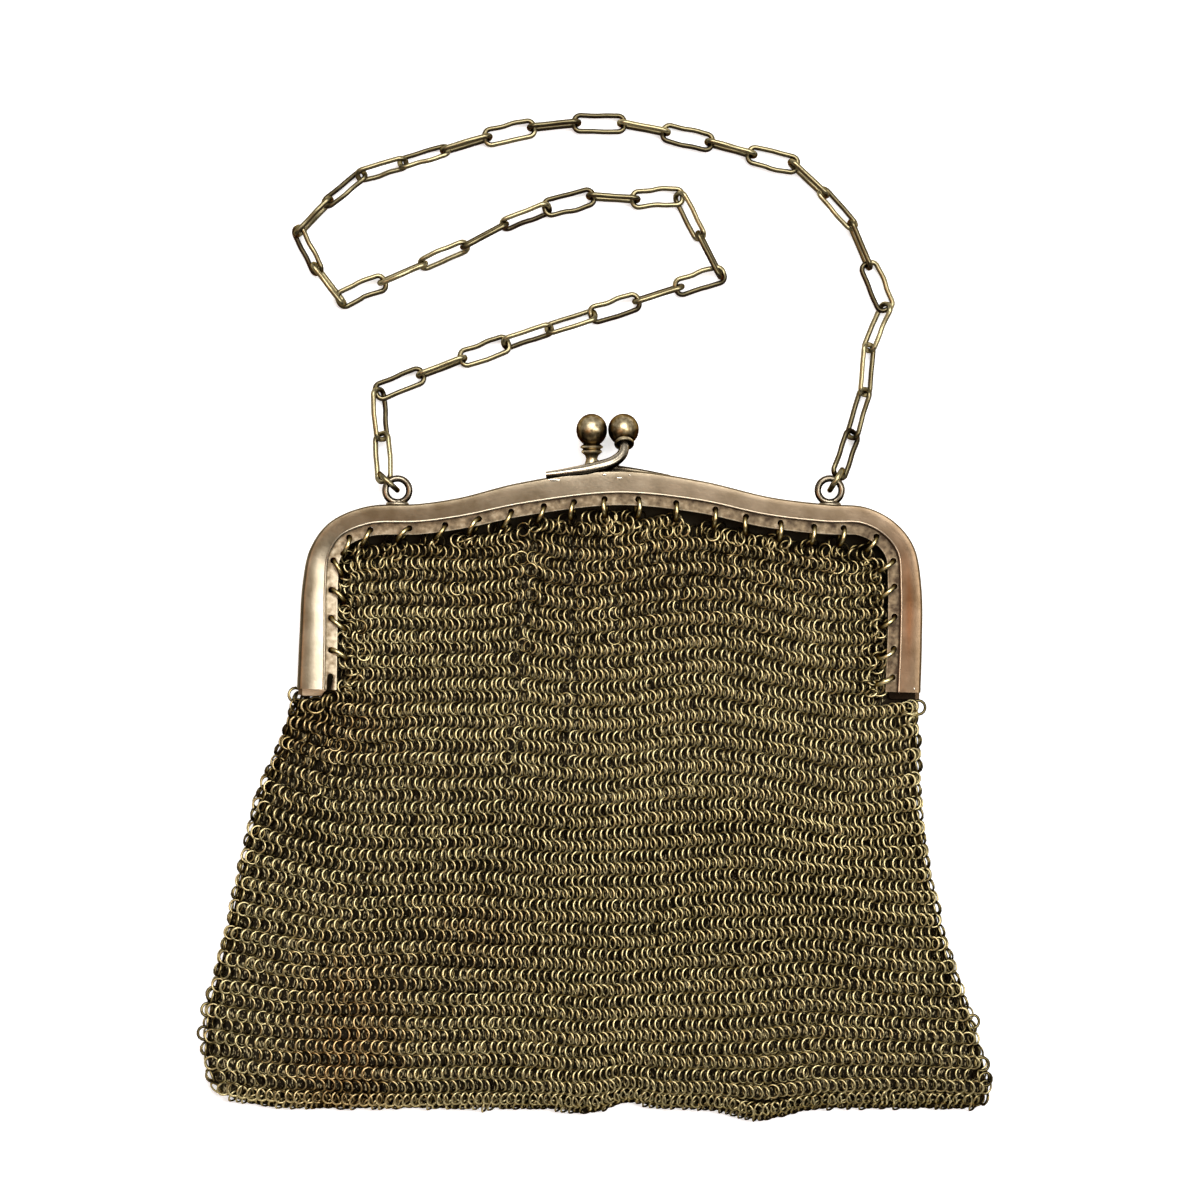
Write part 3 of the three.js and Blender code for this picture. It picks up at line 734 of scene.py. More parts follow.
def sweep(path, radii, sides, closed=False, up=UP):
    """Round wire along a path; the first spoke of each section lies across the way up."""
    path = np.asarray(path, float)
    along = np.roll(path, -1, 0) - np.roll(path, 1, 0) if closed else np.gradient(path, axis=0)
    across = unit(np.cross(up, unit(along)))
    out = spokes(across, np.cross(unit(along), across), sides)
    points = path[:, None] + np.broadcast_to(radii, len(path))[:, None, None] * out
    return points.reshape(-1, 3), loft_faces(len(path), sides, closed)


def lathe(profile, origin, axis, sides):
    """Turned solid round an axis: the profile gives way along the axis and radius."""
    axis = unit(np.asarray(axis, float))
    across = unit(np.cross(axis, UP))
    out = spokes(across, np.cross(axis, across), sides)
    rings = [np.asarray(origin) + along * axis + radius * out for along, radius in profile]
    return np.concatenate(rings), loft_faces(len(profile), sides, False)


def blob(centre, half_sizes):
    """Ellipsoid with its half sizes along x, y and z."""
    sides, steps, pole = BLOB_BUILD
    turns = np.linspace(pole, math.pi - pole, steps)
    points, faces = lathe([(-math.cos(t), math.sin(t)) for t in turns], (0, 0, 0), (0, 1, 0), sides)
    return points * np.asarray(half_sizes) + np.asarray(centre), faces


def merge(shapes):
    """Several shapes of points and faces as one."""
    points = np.concatenate([shape[0] for shape in shapes])
    faces = []
    start = 0
    for shape_points, shape_faces in shapes:
        faces.extend([[start + k for k in face] for face in shape_faces])
        start += len(shape_points)
    return points, faces


def smooth_curve(table, steps):
    """Rows along a centripetal Catmull-Rom curve through a table's rows."""
    p = np.asarray(table, float)
    p = np.vstack([2 * p[0] - p[1], p, 2 * p[-1] - p[-2]])
    knots = np.concatenate([[0.0], np.cumsum(np.linalg.norm(np.diff(p, axis=0), axis=1) ** 0.5)])
    t = np.linspace(knots[1], knots[-2], steps + 1)
    first = np.clip(np.searchsorted(knots, t, side="right") - 1, 1, len(p) - 3) - 1
    t = t[:, None]
    knot = [knots[first + k][:, None] for k in range(4)]
    level = [p[first + k] for k in range(4)]
    for pairs in ([(0, 1), (1, 2), (2, 3)], [(0, 2), (1, 3)], [(1, 2)]):
        shares = [(t - knot[a]) / (knot[b] - knot[a]) for a, b in pairs]
        level = [(1 - share) * level[k] + share * level[k + 1] for k, share in enumerate(shares)]
    return level[0]


# Rings


def ring_field(centres, along, across, facing, size, build):
    """Many rings at once: points, faces and how far out each point stands in its ring, from -1 to 1."""
    centres, along, across = (np.asarray(a, float) for a in (centres, along, across))
    radius, wire = size
    segments, sides = build
    psi = full_turn(sides)
    out = spokes(along, across, segments)
    axis = np.cross(along, across)
    reach = np.broadcast_to(radius, len(centres))[:, None, None] + wire / 2 * np.cos(psi)[None, None]
    points = out[:, :, None] * reach[..., None]
    points = points + axis[:, None, None] * (wire / 2 * np.sin(psi))[None, None, :, None]
    height = np.einsum("nspk,nk->nsp", points, np.broadcast_to(facing, centres.shape)) / RING_RADIUS
    height = height / np.maximum(np.abs(height).max((1, 2), keepdims=True), RING_FLAT)
    points = points + centres[:, None, None]
    one = np.array(loft_faces(segments, sides, True))
    faces = one[None] + (np.arange(len(centres)) * segments * sides)[:, None, None]
    return points.reshape(-1, 3), faces.reshape(-1, 4).tolist(), height.ravel()


def mail_patina_and_shade(centres):
    """Shift of the rub, with painted shade in the fold below the left hinge, and share of copper at places
    of the mail.
    """
    offset = (np.asarray(centres)[:, None, :2] - MAIL_PATCHES_AND_SHADE[:, :2]) / MAIL_PATCHES_AND_SHADE[:, 2:4]
    weight = np.exp(-np.sum(offset**2, -1))
    return weight @ MAIL_PATCHES_AND_SHADE[:, 4], np.clip(weight @ MAIL_PATCHES_AND_SHADE[:, 5], 0, 1)


def painted_lean_light(rings):
    """Painted highlight and painted shade on leaning rings, as a shift of the rub."""
    centres, _, across, facing = rings
    line, span, most = PAINTED_LEAN_LIGHT
    return most * np.sum(across * facing, -1) * np.tanh((centres[:, 0] - line) / span)


def add_rings(name, rings, made_as, size, build, tarnish_and_shade=0.0):
    """Rings as one piece: painted shade on each ring's low side and round the pouch's sides, and a rubbed
    high side.
    """
    points, faces, height = ring_field(*rings, size, build)
    points[:, 2] = np.maximum(points[:, 2], TABLE_GAP)
    shift, copper = mail_patina_and_shade(rings[0])
    # Darkening of the whole piece, tarnish on the hangers and painted shade on the others, and painted
    # shade round the pouch's sides
    aside = 1 - np.abs(np.broadcast_to(rings[3], np.shape(rings[0]))[:, 2])
    shift = shift - tarnish_and_shade - SIDE_SHADE * aside
    if made_as is MAIL:
        shift = shift + painted_lean_light(rings)
    each = build[0] * build[1]
    tone = np.repeat(rng.random(len(rings[0])), each)
    # Wear on each ring's high side, painted shade on its low side
    rub = np.interp(height, *RING_WEAR_AND_SHADE) + np.repeat(shift, each)
    add_piece(name, (points, faces), made_as, rub=rub, tone=tone, copper=np.repeat(copper, each))


# Frame


def frame_stations(extra=0.0):
    """Stations along the frame's outer edge: place, way in, width of the band."""
    rows = smooth_curve(FRAME_EDGE, FRAME_STEPS)
    rows[[0, -1], 1] -= extra
    along = unit(np.gradient(rows[:, :2], axis=0))
    inward = np.stack([along[:, 1], -along[:, 0], np.zeros(len(rows))], 1)
    return at_level(rows[:, :2], 0.0), inward, rows[:, 2]


def on_arch(inward):
    """1 where the frame's edge runs along the arch, 0 on its arms."""
    return np.clip(-inward[:, 1], 0, 1)


def jaw_section(band, dome):
    """Section of a jaw: way in from the outer edge, height above the parting face, rub, 1 on the flange.

    The band falls by the dome towards its inner edge, whose bead is worn and carries a painted highlight;
    the outer rounding is darker with painted shade.
    """
    plain, more = CREST_SHARE
    crest = (plain + more * dome) * band
    lip = JAW_DEPTH - dome
    top = JAW_DEPTH - FLANGE_DROP
    low = top - FLANGE_THICK
    rim = band + FLANGE_WIDTH
    rows = [(0.0, 0.0, 0.3, 0), (0.0, 0.35 * JAW_DEPTH, 0.3, 0)]
    for t in np.linspace(0.0, 1.0, ROUND_STEPS):
        turn = t * math.pi / 2
        height = JAW_DEPTH * (ROUND_FROM + (1 - ROUND_FROM) * math.sin(turn))
        rows.append((crest * (1 - math.cos(turn)), height, 0.25 + 0.25 * t, 0))
    for t in BAND_PLACES:
        rows.append((crest + t * (band - crest - BEAD_INSET), JAW_DEPTH - dome * t * t, 0.5, 0))
    rows += [(band + way, lip + rise, rub, 0) for way, rise, rub in BEAD]
    rows += [(band + way, top + rise, rub, 1) for way, rise, rub in FLANGE_START]
    rows += [(rim + way, top + rise, rub, 1) for way, rise, rub in FLANGE_RIM]
    rows += [(rim, low, 0.2, 0), (band - 0.2, low, 0.1, 0), (0.55 * band, JAW_DEPTH - SHEET, 0.1, 0)]
    rows += [(SHEET, 0.45 * JAW_DEPTH, 0.1, 0), (SHEET, 0.0, 0.3, 0)]
    return np.array(rows)


def hanger_places():
    """Holes of the flange with the way in at each."""
    places, inward, band = frame_stations()
    line = places + inward * (band + HOLE_INSET)[:, None]
    length = np.concatenate([[0.0], np.cumsum(np.linalg.norm(np.diff(line, axis=0), axis=1))])
    at = np.linspace(HOLE_END_MARGIN, length[-1] - HOLE_END_MARGIN, HANGERS) + HOLE_SHIFTS
    hole, way = (np.stack([np.interp(at, length, k) for k in rows.T], 1) for rows in (line, inward))
    return hole, unit(way)


def flange_z(side):
    """Middle of the flange's thickness on one jaw."""
    return PARTING_Z + side * (PARTING_GAP / 2 + JAW_DEPTH - FLANGE_DROP - FLANGE_THICK / 2)


def upright_drill(start, end, end_radius):
    """Upright prism round two places, as wide as a hole at its start."""
    start, end = np.array(start), np.array(end)
    way = end - start
    turn = math.atan2(way[1], way[0]) + np.linspace(math.pi / 2, 3 * math.pi / 2, HOLE_STEPS)
    arc = np.column_stack([np.cos(turn), np.sin(turn)])
    outline = np.concatenate([start + HOLE_RADIUS * arc, end - end_radius * arc])
    layers = [at_level(outline, z) for z in (-DRILL_HALF, DRILL_HALF)]
    return np.concatenate(layers), loft_faces(2, len(outline), False)


def hole_drills(holes, side):
    """One mesh of a short upright drill at each hole, the first one with its slot."""
    shapes = [upright_drill(holes[0, :2], SLOT_END, SLOT_HALF)]
    for hole in holes[1:, :2]:
        shapes.append(upright_drill(hole, hole + [HOLE_STRETCH, 0.0], HOLE_RADIUS))
    points, faces = merge(shapes)
    points[:, 2] += flange_z(side)
    return add_object("drills", new_mesh("drills", points, faces))


def drill_holes(piece, side):
    """Cuts the hanger holes out of a jaw's flange and paints shade on their walls with the dark hole metal.
    """
    holes, _ = hanger_places()
    drills = hole_drills(holes, side)
    cut = piece.modifiers.new("holes", "BOOLEAN")
    cut.object = drills
    cut.operation = "DIFFERENCE"
    cut.solver = "EXACT"
    bpy.context.view_layer.update()
    mesh = bpy.data.meshes.new_from_object(piece.evaluated_get(bpy.context.evaluated_depsgraph_get()))
    piece.modifiers.clear()
    piece.data = mesh
    bpy.data.objects.remove(drills)

    def at_hole(points):
        places = np.array(points) / MM - DRAWN_ORIGIN
        away = np.linalg.norm(places[:, None, :2] - holes[None, :, :2], axis=-1).min(1)
        return away < HOLE_RADIUS + HOLE_EDGE

    at_rim = at_hole([v.co for v in mesh.vertices])
    for key, value in RIM_LOOKS.items():
        values = np.array([item.value for item in mesh.attributes[key].data], np.float32)
        values[at_rim] = value
        mesh.attributes[key].data.foreach_set("value", values)
    # Painted shade: upright faces in the holes get the dark hole metal
    upright = np.abs([face.normal.z for face in mesh.polygons]) < 0.5
    in_hole = upright & at_hole([face.center for face in mesh.polygons])
    slots = np.array([face.material_index for face in mesh.polygons], np.int32)
    slots[in_hole] = len(mesh.materials) - 1
    mesh.polygons.foreach_set("material_index", slots)
    mesh.set_sharp_from_angle(angle=math.radians(CREASE))


def jaw(name, side, node):
    """One jaw: side is 1 for the front and -1 for the back."""
    places, inward, band = frame_stations(0.0 if side > 0 else BACK_ARM_EXTRA)
    x = places[:, 0]
    start, fall = ARM_SHARE
    arm = smoothstep(start - fall * on_arch(inward))
    dome = ARCH_DOME + arm * np.where(x < 0, LEFT_ARM_DOME, RIGHT_ARM_DOME)
    sections = np.array([jaw_section(*row) for row in zip(band, dome)])
    points = places[:, None] + inward[:, None] * sections[:, :, :1]
    points[:, :, 2] = PARTING_Z + side * (PARTING_GAP / 2 + sections[:, :, 1])
    columns = FRAME_PATINA[:, 1:].T
    shift, flange_shift, copper = (np.interp(x, FRAME_PATINA[:, 0], column)[:, None] for column in columns)
    count, sides = sections.shape[:2]
    faces = loft_faces(count, sides, False)
    flange = sections[0, :, 3]
    across = sections[:, :, 0] / band[:, None]
    inner = blend(across, *INNER_PART) * (1 - flange)
    outer = (1 - blend(across, *OUTER_PART)) * (1 - flange)
    # Painted highlight on the left arm's inner part, painted shade on the right arm's outer part
    left_sheen = LEFT_ARM_SHEEN * arm * (x < 0)
    right_shade = RIGHT_ARM_SHADE * arm * (x > 0)
    arm_sheen_and_shade = left_sheen[:, None] * inner - right_shade[:, None] * outer
    rub = (sections[:, :, 2] + np.where(flange, flange_shift, shift) + arm_sheen_and_shade).ravel()
    # Painted warm reflection: a streak of copper tint down the right arm
    middle, length, place, width, gain = WARM_REFLECTION_STREAK
    warm_reflection = bell(places[:, 1:2], middle, length) * bell(across, place, width)
    copper = (copper * (1 + gain * warm_reflection) * (1 - (1 - FLANGE_COPPER_AND_REFLECTION) * flange)).ravel()
    piece = add_piece(name, (points.reshape(-1, 3), faces), as_frame("frame", node), rub=rub, copper=copper)
    for material in ("flange", "hole"):
        piece.data.materials.append(MATERIALS[material])
    slots = np.concatenate([np.tile(flange, count - 1), np.zeros(len(faces) - sides * (count - 1))])
    piece.data.polygons.foreach_set("material_index", slots.astype(np.int32))
    drill_holes(piece, side)


def hinge_leaf(side):
    """End of an arm of the back jaw: a small plate with round lower corners and a bevelled edge."""
    left, right, low, material, rub, copper = HINGE_LEAVES[side]
    turn = np.linspace(0, math.pi / 2, LEAF_STEPS)
    corner = LEAF_ROUND * np.column_stack([np.cos(turn), np.sin(turn)])
    lower_left = np.array([left, low]) + LEAF_ROUND - corner
    lower_right = np.array([right, low]) + [-LEAF_ROUND, LEAF_ROUND] + (corner * [1, -1])[::-1]
    top = low + LEAF_HEIGHT
    outline = np.concatenate([[(left, top)], lower_left, lower_right, [(right, top)]])
    middle = np.array([(left + right) / 2, top])
    inset = outline + LEAF_BEVEL * unit(middle - outline + 1e-6)
    levels = [(outline, LEAF_Z[0]), (outline, LEAF_Z[1] - LEAF_BEVEL), (inset, LEAF_Z[1])]
    points = np.concatenate([at_level(flat, z) for flat, z in levels])
    shape = (points, loft_faces(len(levels), len(outline), False))
    # Painted light on the left leaf and painted shade on the right leaf
    made_as = as_frame(material, "frame_back")
    add_piece("hinge_leaf_" + side, shape, made_as, PLATE_CREASE, rub=rub, copper=copper)


def clasp_half(name, half, node):
    """Ball, neck and bent stem of one half of the clasp."""
    parts = CLASP[half]
    ball = np.array(parts["ball"])
    axis = ball - np.array(parts["foot"])
    start = math.acos(-parts["neck"][-1][0] / (BALL_RADIUS * BALL_STRETCH))
    turns = np.linspace(start, math.pi - BALL_POLE, BALL_STEPS)
    dome = [(-BALL_RADIUS * BALL_STRETCH * math.cos(t), BALL_RADIUS * math.sin(t)) for t in turns]
    neck = np.array(parts["neck"])
    head = lathe([*neck[:, :2], *dome], ball, axis, BALL_SIDES)
    # Painted reflection: brighter above the ball's middle, a dark band just below it
    height = (head[0][:, 1] - ball[1]) / BALL_RADIUS
    rub = np.interp(height, *BALL_PAINTED_REFLECTION)
    # Painted highlights on the neck's rims
    rub[: len(neck) * BALL_SIDES] = np.repeat(neck[:, 2], BALL_SIDES)
    add_piece(name + "_ball", head, as_frame("ball", node), TURNED_CREASE, rub=rub)
    rows = smooth_curve(parts["stem"], STEM_STEPS)
    stem = sweep(rows[:, :3], rows[:, 3], STEM_SIDES)
    offset = stem[0].reshape(len(rows), STEM_SIDES, 3) - rows[:, None, :3]
    # Painted highlight on the stem's upper side, painted shade on its lower side
    plain, gain = parts["stem_sheen_and_shade"]
    rub = plain + gain * (offset[:, :, 1] / rows[:, None, 3]).ravel()
    add_piece(name + "_stem", stem, as_frame("fitting", node), TURNED_CREASE, rub=rub)


def chain_eye(side):
    """Wire eye with crossed ends, on its solder."""
    x, y, foot = EYES[side]
    turn = np.radians(np.linspace(*EYE_TURN))
    rise = np.linspace(-EYE_CROSSING, EYE_CROSSING, len(turn))
    path = np.column_stack([x + EYE_RADIUS * np.cos(turn), y + EYE_RADIUS * np.sin(turn), EYE_Z + rise])
    radii = np.full(len(turn), EYE_WIRE / 2)
    radii[[0, -1]] *= EYE_TIP
    name = "chain_eye_" + side
    wire = sweep(path, radii, EYE_SIDES)
    add_piece(name, wire, as_frame("fitting", "frame_front"), TURNED_CREASE, rub=EYE_RUB)
    solder = blob((x, foot, EYE_Z), EYE_FOOT)
    add_piece(name + "_solder", solder, as_frame("frame", "frame_front"))


def solder_spots():
    level = PARTING_Z + PARTING_GAP / 2 + JAW_DEPTH - SOLDER_SINK
    shapes = [blob((x, y, level), (long, wide, SOLDER_RISE)) for x, y, long, wide in SOLDER_SPOTS]
    add_piece("solder_spots", merge(shapes), as_frame("bright", "frame_front"))


def hinge_pin(side):
    x, y, way = PINS[side]
    name = "hinge_pin_" + side
    shape = lathe(PIN_PROFILE, (x, y, PARTING_Z), (way, 0, 0), PIN_SIDES)
    add_piece(name + "_rivet", shape, as_frame("frame", name), PLATE_CREASE, rub=PIN_RUB)


def hangers(name, side):
    """Rings through the flange's holes, pulled down by the mail."""
    holes, inward = hanger_places()
    drift = np.interp(holes[:, 0], *HANGER_DRIFT) * on_arch(inward)
    pull = np.column_stack([drift, np.full(HANGERS, HANGER_PULL), np.zeros(HANGERS)])
    way = unit(inward + pull + rng.normal(0, HANGER_JITTER, pull.shape) * [1, 1, 0])
    aside = np.cross(UP, way)
    tilt = np.radians(rng.uniform(-HANGER_TILT, HANGER_TILT, HANGERS))[:, None]
    across = side * np.cos(tilt) * UP + np.sin(tilt) * aside
    centres = holes + way * (HANGER_RADIUS - HANGER_SEAT)
    centres[:, 2] = flange_z(side)
    rings = (centres[1:], way[1:], across[1:], side * UP)
    add_rings(name, rings, HANGER, (HANGER_RADIUS, HANGER_WIRE), HANGER_BUILD, HANGER_DULL)
    return centres + way * HANGER_RADIUS, way


# Chain


def node_axes(node):
    """Middle of a node's solid in the drawing, and its long, wide and thin directions."""
    corners = np.array([v.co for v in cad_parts[node].data.vertices]) / MM - DRAWN_ORIGIN
    middle = (corners.min(0) + corners.max(0)) / 2
    _, _, axes = np.linalg.svd(corners - corners.mean(0), full_matrices=False)
    return middle, axes


def link_path():
    """Wire's middle line of one link: a rounded rectangle with sides a little out of true."""
    half_x = (LINK_LENGTH - LINK_WIRE) / 2 - LINK_CORNER
    half_y = (LINK_WIDTH - LINK_WIRE) / 2 - LINK_CORNER
    corner_steps, side_steps = LINK_STEPS
    path = []
    for quarter, (sx, sy) in enumerate([(1, 1), (-1, 1), (-1, -1), (1, -1)]):
        for t in np.linspace(0, 1, corner_steps):
            turn = (quarter + t) * math.pi / 2
            x = sx * half_x + LINK_CORNER * math.cos(turn)
            path.append((x, sy * half_y + LINK_CORNER * math.sin(turn)))
        if sx == sy:
            way = np.linspace(sx * half_x, -sx * half_x, side_steps)
            path.extend([(x, path[-1][1]) for x in way[1:-1]])
    path = np.array(path)
    wave = rng.normal(0, LINK_WAVE, 4)
    share = path[:, 0] / half_x
    upper = path[:, 1] > 0
    inside = np.clip(1 - np.abs(share), 0, 1)
    path[:, 1] += np.where(upper, wave[0], wave[1]) * inside
    path[:, 1] += np.where(upper, wave[2], wave[3]) * np.sin(math.pi * share) * inside
    return path


def chain_link(node):
    """One link, painted brighter towards +y and on top, and darker towards -y, with random painted shade on
    each long side.
    """
    middle, axes = node_axes(node)
    flat = link_path()
    path = middle + flat[:, :1] * axes[0] + flat[:, 1:] * axes[1]
    points, faces = sweep(path, LINK_WIRE / 2, LINK_SIDES, closed=True, up=axes[2])
    offset = (points.reshape(len(path), LINK_SIDES, 3) - path[:, None]) / (LINK_WIRE / 2)
    # Painted shade on each long side, random per link
    tarnish_and_shade = np.where(flat[:, 1] > 0, *rng.uniform(0, LINK_SIDE_SHADE, 2))[:, None]
    high = (path[:, 2] - middle[2])[:, None] / LINK_WIDTH
    plain, far_gain, high_gain = LINK_RUB_AND_SHEEN
    # Painted highlight towards +y and on the high side of a tilted link, painted shade towards -y
    rub = (plain + far_gain * offset[:, :, 1] + high_gain * high - tarnish_and_shade).ravel()
    points[:, 2] = np.maximum(points[:, 2], TABLE_GAP)
    add_piece(node + "_wire", (points, faces), as_chain(node), rub=rub)


def jump_ring(side):
    node = "chain_jump_ring_" + side
    middle, axes = node_axes(node)
    rings = ([middle], [axes[0]], [axes[1]], UP)
    add_rings(node + "_wire", rings, as_chain(node), (JUMP_RADIUS, JUMP_WIRE), JUMP_BUILD)


# Mail


def pouch_at(y, column):
    return np.interp(y, POUCH_ROWS[:, 0], POUCH_ROWS[:, column])


def side_reach(y, right):
    """Half width of the pouch's flat part, bend of its side, way from its middle round to its edge."""
    left_x, right_x, thick = (pouch_at(y, column) for column in (1, 2, 3))
    half = np.where(right, right_x - POUCH_MIDDLE_X, POUCH_MIDDLE_X - left_x)
    bend = np.maximum(thick / 2 - WALL_MIDDLE, LEAST_BEND)
    flat = half - thick / 2
    return flat, bend, flat + bend * math.pi / 2


def row_lift(x, y):
    """How far a row rises above its level: drawn up to the left hinge, in crests, sagging on the right."""
    left = np.interp(y, *DRAWN_UP) * blend(x, *DRAWN_SIDE)
    right = np.interp(y, *ROW_SAG) * bell(x, *SAG_SIDE)
    offset = np.abs(x - gather_line(GATHERS[0], y))
    crests = np.interp(y, CREST_LEVELS, GATHER_CREST) * np.exp(-offset / CREST_REACH)
    for middle, width, heights in ROW_CRESTS:
        crests = crests + np.interp(y, CREST_LEVELS, heights) * bell(x, middle, width)
    lift = left + right + crests
    for height, along_x, along_y in ROW_WAVES:
        lift = lift + height * np.sin(x / along_x + y / along_y)
    return lift


def gather_line(gather, y):
    """Where a gather runs: x at a level."""
    top_x, low_x, low_y, _ = gather
    return np.interp(y, [low_y, GATHER_TOP], [low_x, top_x])


def gather_shift(x, y):
    """Columns pushed apart at the gathers of the front."""
    total = np.zeros_like(x)
    for gather in GATHERS:
        *_, low_y, half_gap = gather
        offset = x - gather_line(gather, y)
        strength = half_gap * blend(y, low_y, GATHER_FADE)
        total += strength * np.sign(offset) * np.exp(-np.abs(offset) / GATHER_REACH)
    return total


def mail_surface(column, row):
    """Place on the mail for a column from -2 to 2 round the pouch and a row down from the top."""
    right = column > 0
    share = np.abs(column)
    back = share > 1
    share = np.where(back, 2 - share, share)
    level = TOP_ROW_Y - ROW_PITCH * row
    side = np.where(right, 1, -1)
    nominal = side * share * NOMINAL_HALF + POUCH_MIDDLE_X
    y = level + row_lift(nominal, level)
    flat, bend, reach = side_reach(y, right)
    narrow = side_reach(np.full_like(y, HINGE_Y), right)[2]
    way = narrow * share + (reach - narrow) * share**2
    turn = np.clip((way - flat) / bend, 0, math.pi / 2)
    out = np.minimum(way, flat) + bend * np.sin(turn)
    x = POUCH_MIDDLE_X + side * out
    x = x + np.where(back, 0.0, gather_shift(x, y))
    thick = pouch_at(y, 3)
    height, along_x, swing, bow, along_y, start = RIPPLE
    ripple = height * np.sin(x / along_x + swing * np.sin(y / bow)) * np.sin(y / along_y + start)
    rise = bend * np.cos(turn)
    z = thick / 2 + np.where(back, -rise, rise + ripple * np.cos(turn))
    y = y + pouch_at(y, 4) * hem_wave(x)
    return np.stack([x, y, z], -1)


def hem_wave(x):
    return -sum(depth * bell(x, middle, width) for middle, width, depth in HEM_WAVES)


def mail_rings(columns, rows):
    """Rings at a set of columns and rows: centres, two directions of each ring's plane, way out."""
    step = 1 / COLUMNS_TO_SIDE
    centre = mail_surface(columns, rows)
    beside = mail_surface(columns + step / 2, rows) - mail_surface(columns - step / 2, rows)
    down = mail_surface(columns, rows + 0.5) - mail_surface(columns, rows - 0.5)
    pitch = np.linalg.norm(beside, axis=-1)
    along = unit(down)
    out = unit(np.cross(down, beside))
    beside = np.cross(out, along)
    tangle_x, tangle_y, width, height, more = HINGE_TANGLE
    tangle = ((centre[:, 0] - tangle_x) / width) ** 2 + ((centre[:, 1] - tangle_y) / height) ** 2
    gain, start, span = WILD_TOP
    wild = 1 + gain * blend(centre[:, 1], start, span) + more * np.exp(-tangle)
    lean = np.arccos(np.interp(pitch, *LEAN_BY_PITCH)) + wild * rng.normal(0, LEAN_JITTER, len(columns))
    lean = lean * np.where(rows % 2 > 0.5, 1, -1)
    across = np.cos(lean)[:, None] * beside + np.sin(lean)[:, None] * out
    nod = (wild * rng.normal(0, NOD_JITTER, len(columns)))[:, None]
    along = unit(along + nod * out)
    across = unit(across - along * np.sum(along * across, -1, keepdims=True))
    centre = centre + rng.normal(0, PLACE_JITTER, centre.shape)
    return centre, along, across, out


def flap_depth(centres):
    """How far each ring lies inside the frame's opening, beyond what it needs to clear the flange."""
    places, inward, band = frame_stations()
    line = places + inward * (band + FLANGE_WIDTH)[:, None]
    plain, more = FLAP_GAP
    gap = plain + more * on_arch(inward)
    offset = centres[:, None, :2] - line[None, :, :2]
    nearest = np.argmin(np.sum(offset**2, -1), axis=1)
    chosen = offset[np.arange(len(centres)), nearest]
    return np.sum(chosen * inward[nearest, :2], -1) - gap[nearest]


def mail_grid(first_row, last_row, low, high):
    """Columns and rows of a field of rings; odd rows stand half a column aside."""
    rows = np.arange(first_row, last_row + 1)
    columns = np.arange(math.floor(low * COLUMNS_TO_SIDE), math.ceil(high * COLUMNS_TO_SIDE))
    grid_row, grid_column = np.meshgrid(rows, columns, indexing="ij")
    grid_column = (grid_column + 0.5 * (grid_row % 2)) / COLUMNS_TO_SIDE
    return grid_column.ravel(), grid_row.ravel().astype(float)


def clear_of_leaves(rings):
    """Rings without those that would lie over the ends of the back jaw's arms."""
    x, y = rings[0][:, 0], rings[0][:, 1]
    over = np.zeros(len(x), bool)
    for left, right, low, *_ in HINGE_LEAVES.values():
        over |= (x > left) & (x < right) & (y > low - LEAF_CLEARANCE)
    return [part[~over] for part in rings]


def mail():
    hinge_row = math.ceil((TOP_ROW_Y - HINGE_Y) / ROW_PITCH)
    last_row = math.floor((TOP_ROW_Y - BOTTOM_ROW_Y) / ROW_PITCH)
    breaks = np.linspace(hinge_row, last_row + 1, 4).astype(int)
    for k in range(3):
        grid = mail_grid(breaks[k], breaks[k + 1] - 1, -FRONT_ROUND, FRONT_ROUND)
        rings = clear_of_leaves(mail_rings(*grid))
        add_rings("mail_front_%d" % (k + 1), rings, MAIL, MAIL_SIZE, FRONT_RING)
    half = (hinge_row + last_row) // 2
    for k, (first, last) in enumerate([(hinge_row, half), (half + 1, last_row)]):
        for side, (low, high) in {"left": (-2.0, -FRONT_ROUND), "right": (FRONT_ROUND, 2.0)}.items():
            rings = mail_rings(*mail_grid(first, last, low, high))
            add_rings("mail_back_%s_%d" % (side, k + 1), rings, MAIL, MAIL_SIZE, BACK_RING)
    for name, low, high, build in (
        ("mail_flap_front", -FLAP_FRONT, FLAP_FRONT, FRONT_RING),
        ("mail_flap_back_left", -2.0, -FLAP_BACK, BACK_RING),
        ("mail_flap_back_right", FLAP_BACK, 2.0, BACK_RING),
    ):
        columns, rows = mail_grid(-1, hinge_row - 1, low, high)
        depth = flap_depth(mail_surface(columns, rows))
        rings = mail_rings(columns[depth > 0], rows[depth > 0])
        add_rings(name, rings, MAIL, MAIL_SIZE, build)


def hem():
    """Rows of steep rings that close the pouch along its hem."""
    low, left, right = POUCH_ROWS[0, :3]
    x = np.arange(left + HEM_MARGIN, right - HEM_MARGIN, HEM_PITCH)
    aside = np.array([1.0, 0.0, 0.0])
    for k, (rise, level, slope, lean) in enumerate(HEM_ROWS):
        centres = np.column_stack([x, low + rise + hem_wave(x), np.full(len(x), level)])
        centres += rng.normal(0, HEM_JITTER, centres.shape)
        slope = np.radians(slope)
        along = np.tile([0.0, -np.cos(slope), -np.sin(slope)], (len(x), 1))
        lean = (np.radians(lean) + rng.normal(0, HEM_SWING, len(x)))[:, None]
        across = np.cos(lean) * aside + np.sin(lean) * np.cross(aside, along)
        rings = (centres, along, across, UP)
        add_rings("mail_hem_%d" % (k + 1), rings, MAIL, MAIL_SIZE, FRONT_RING, HEM_SHADE)


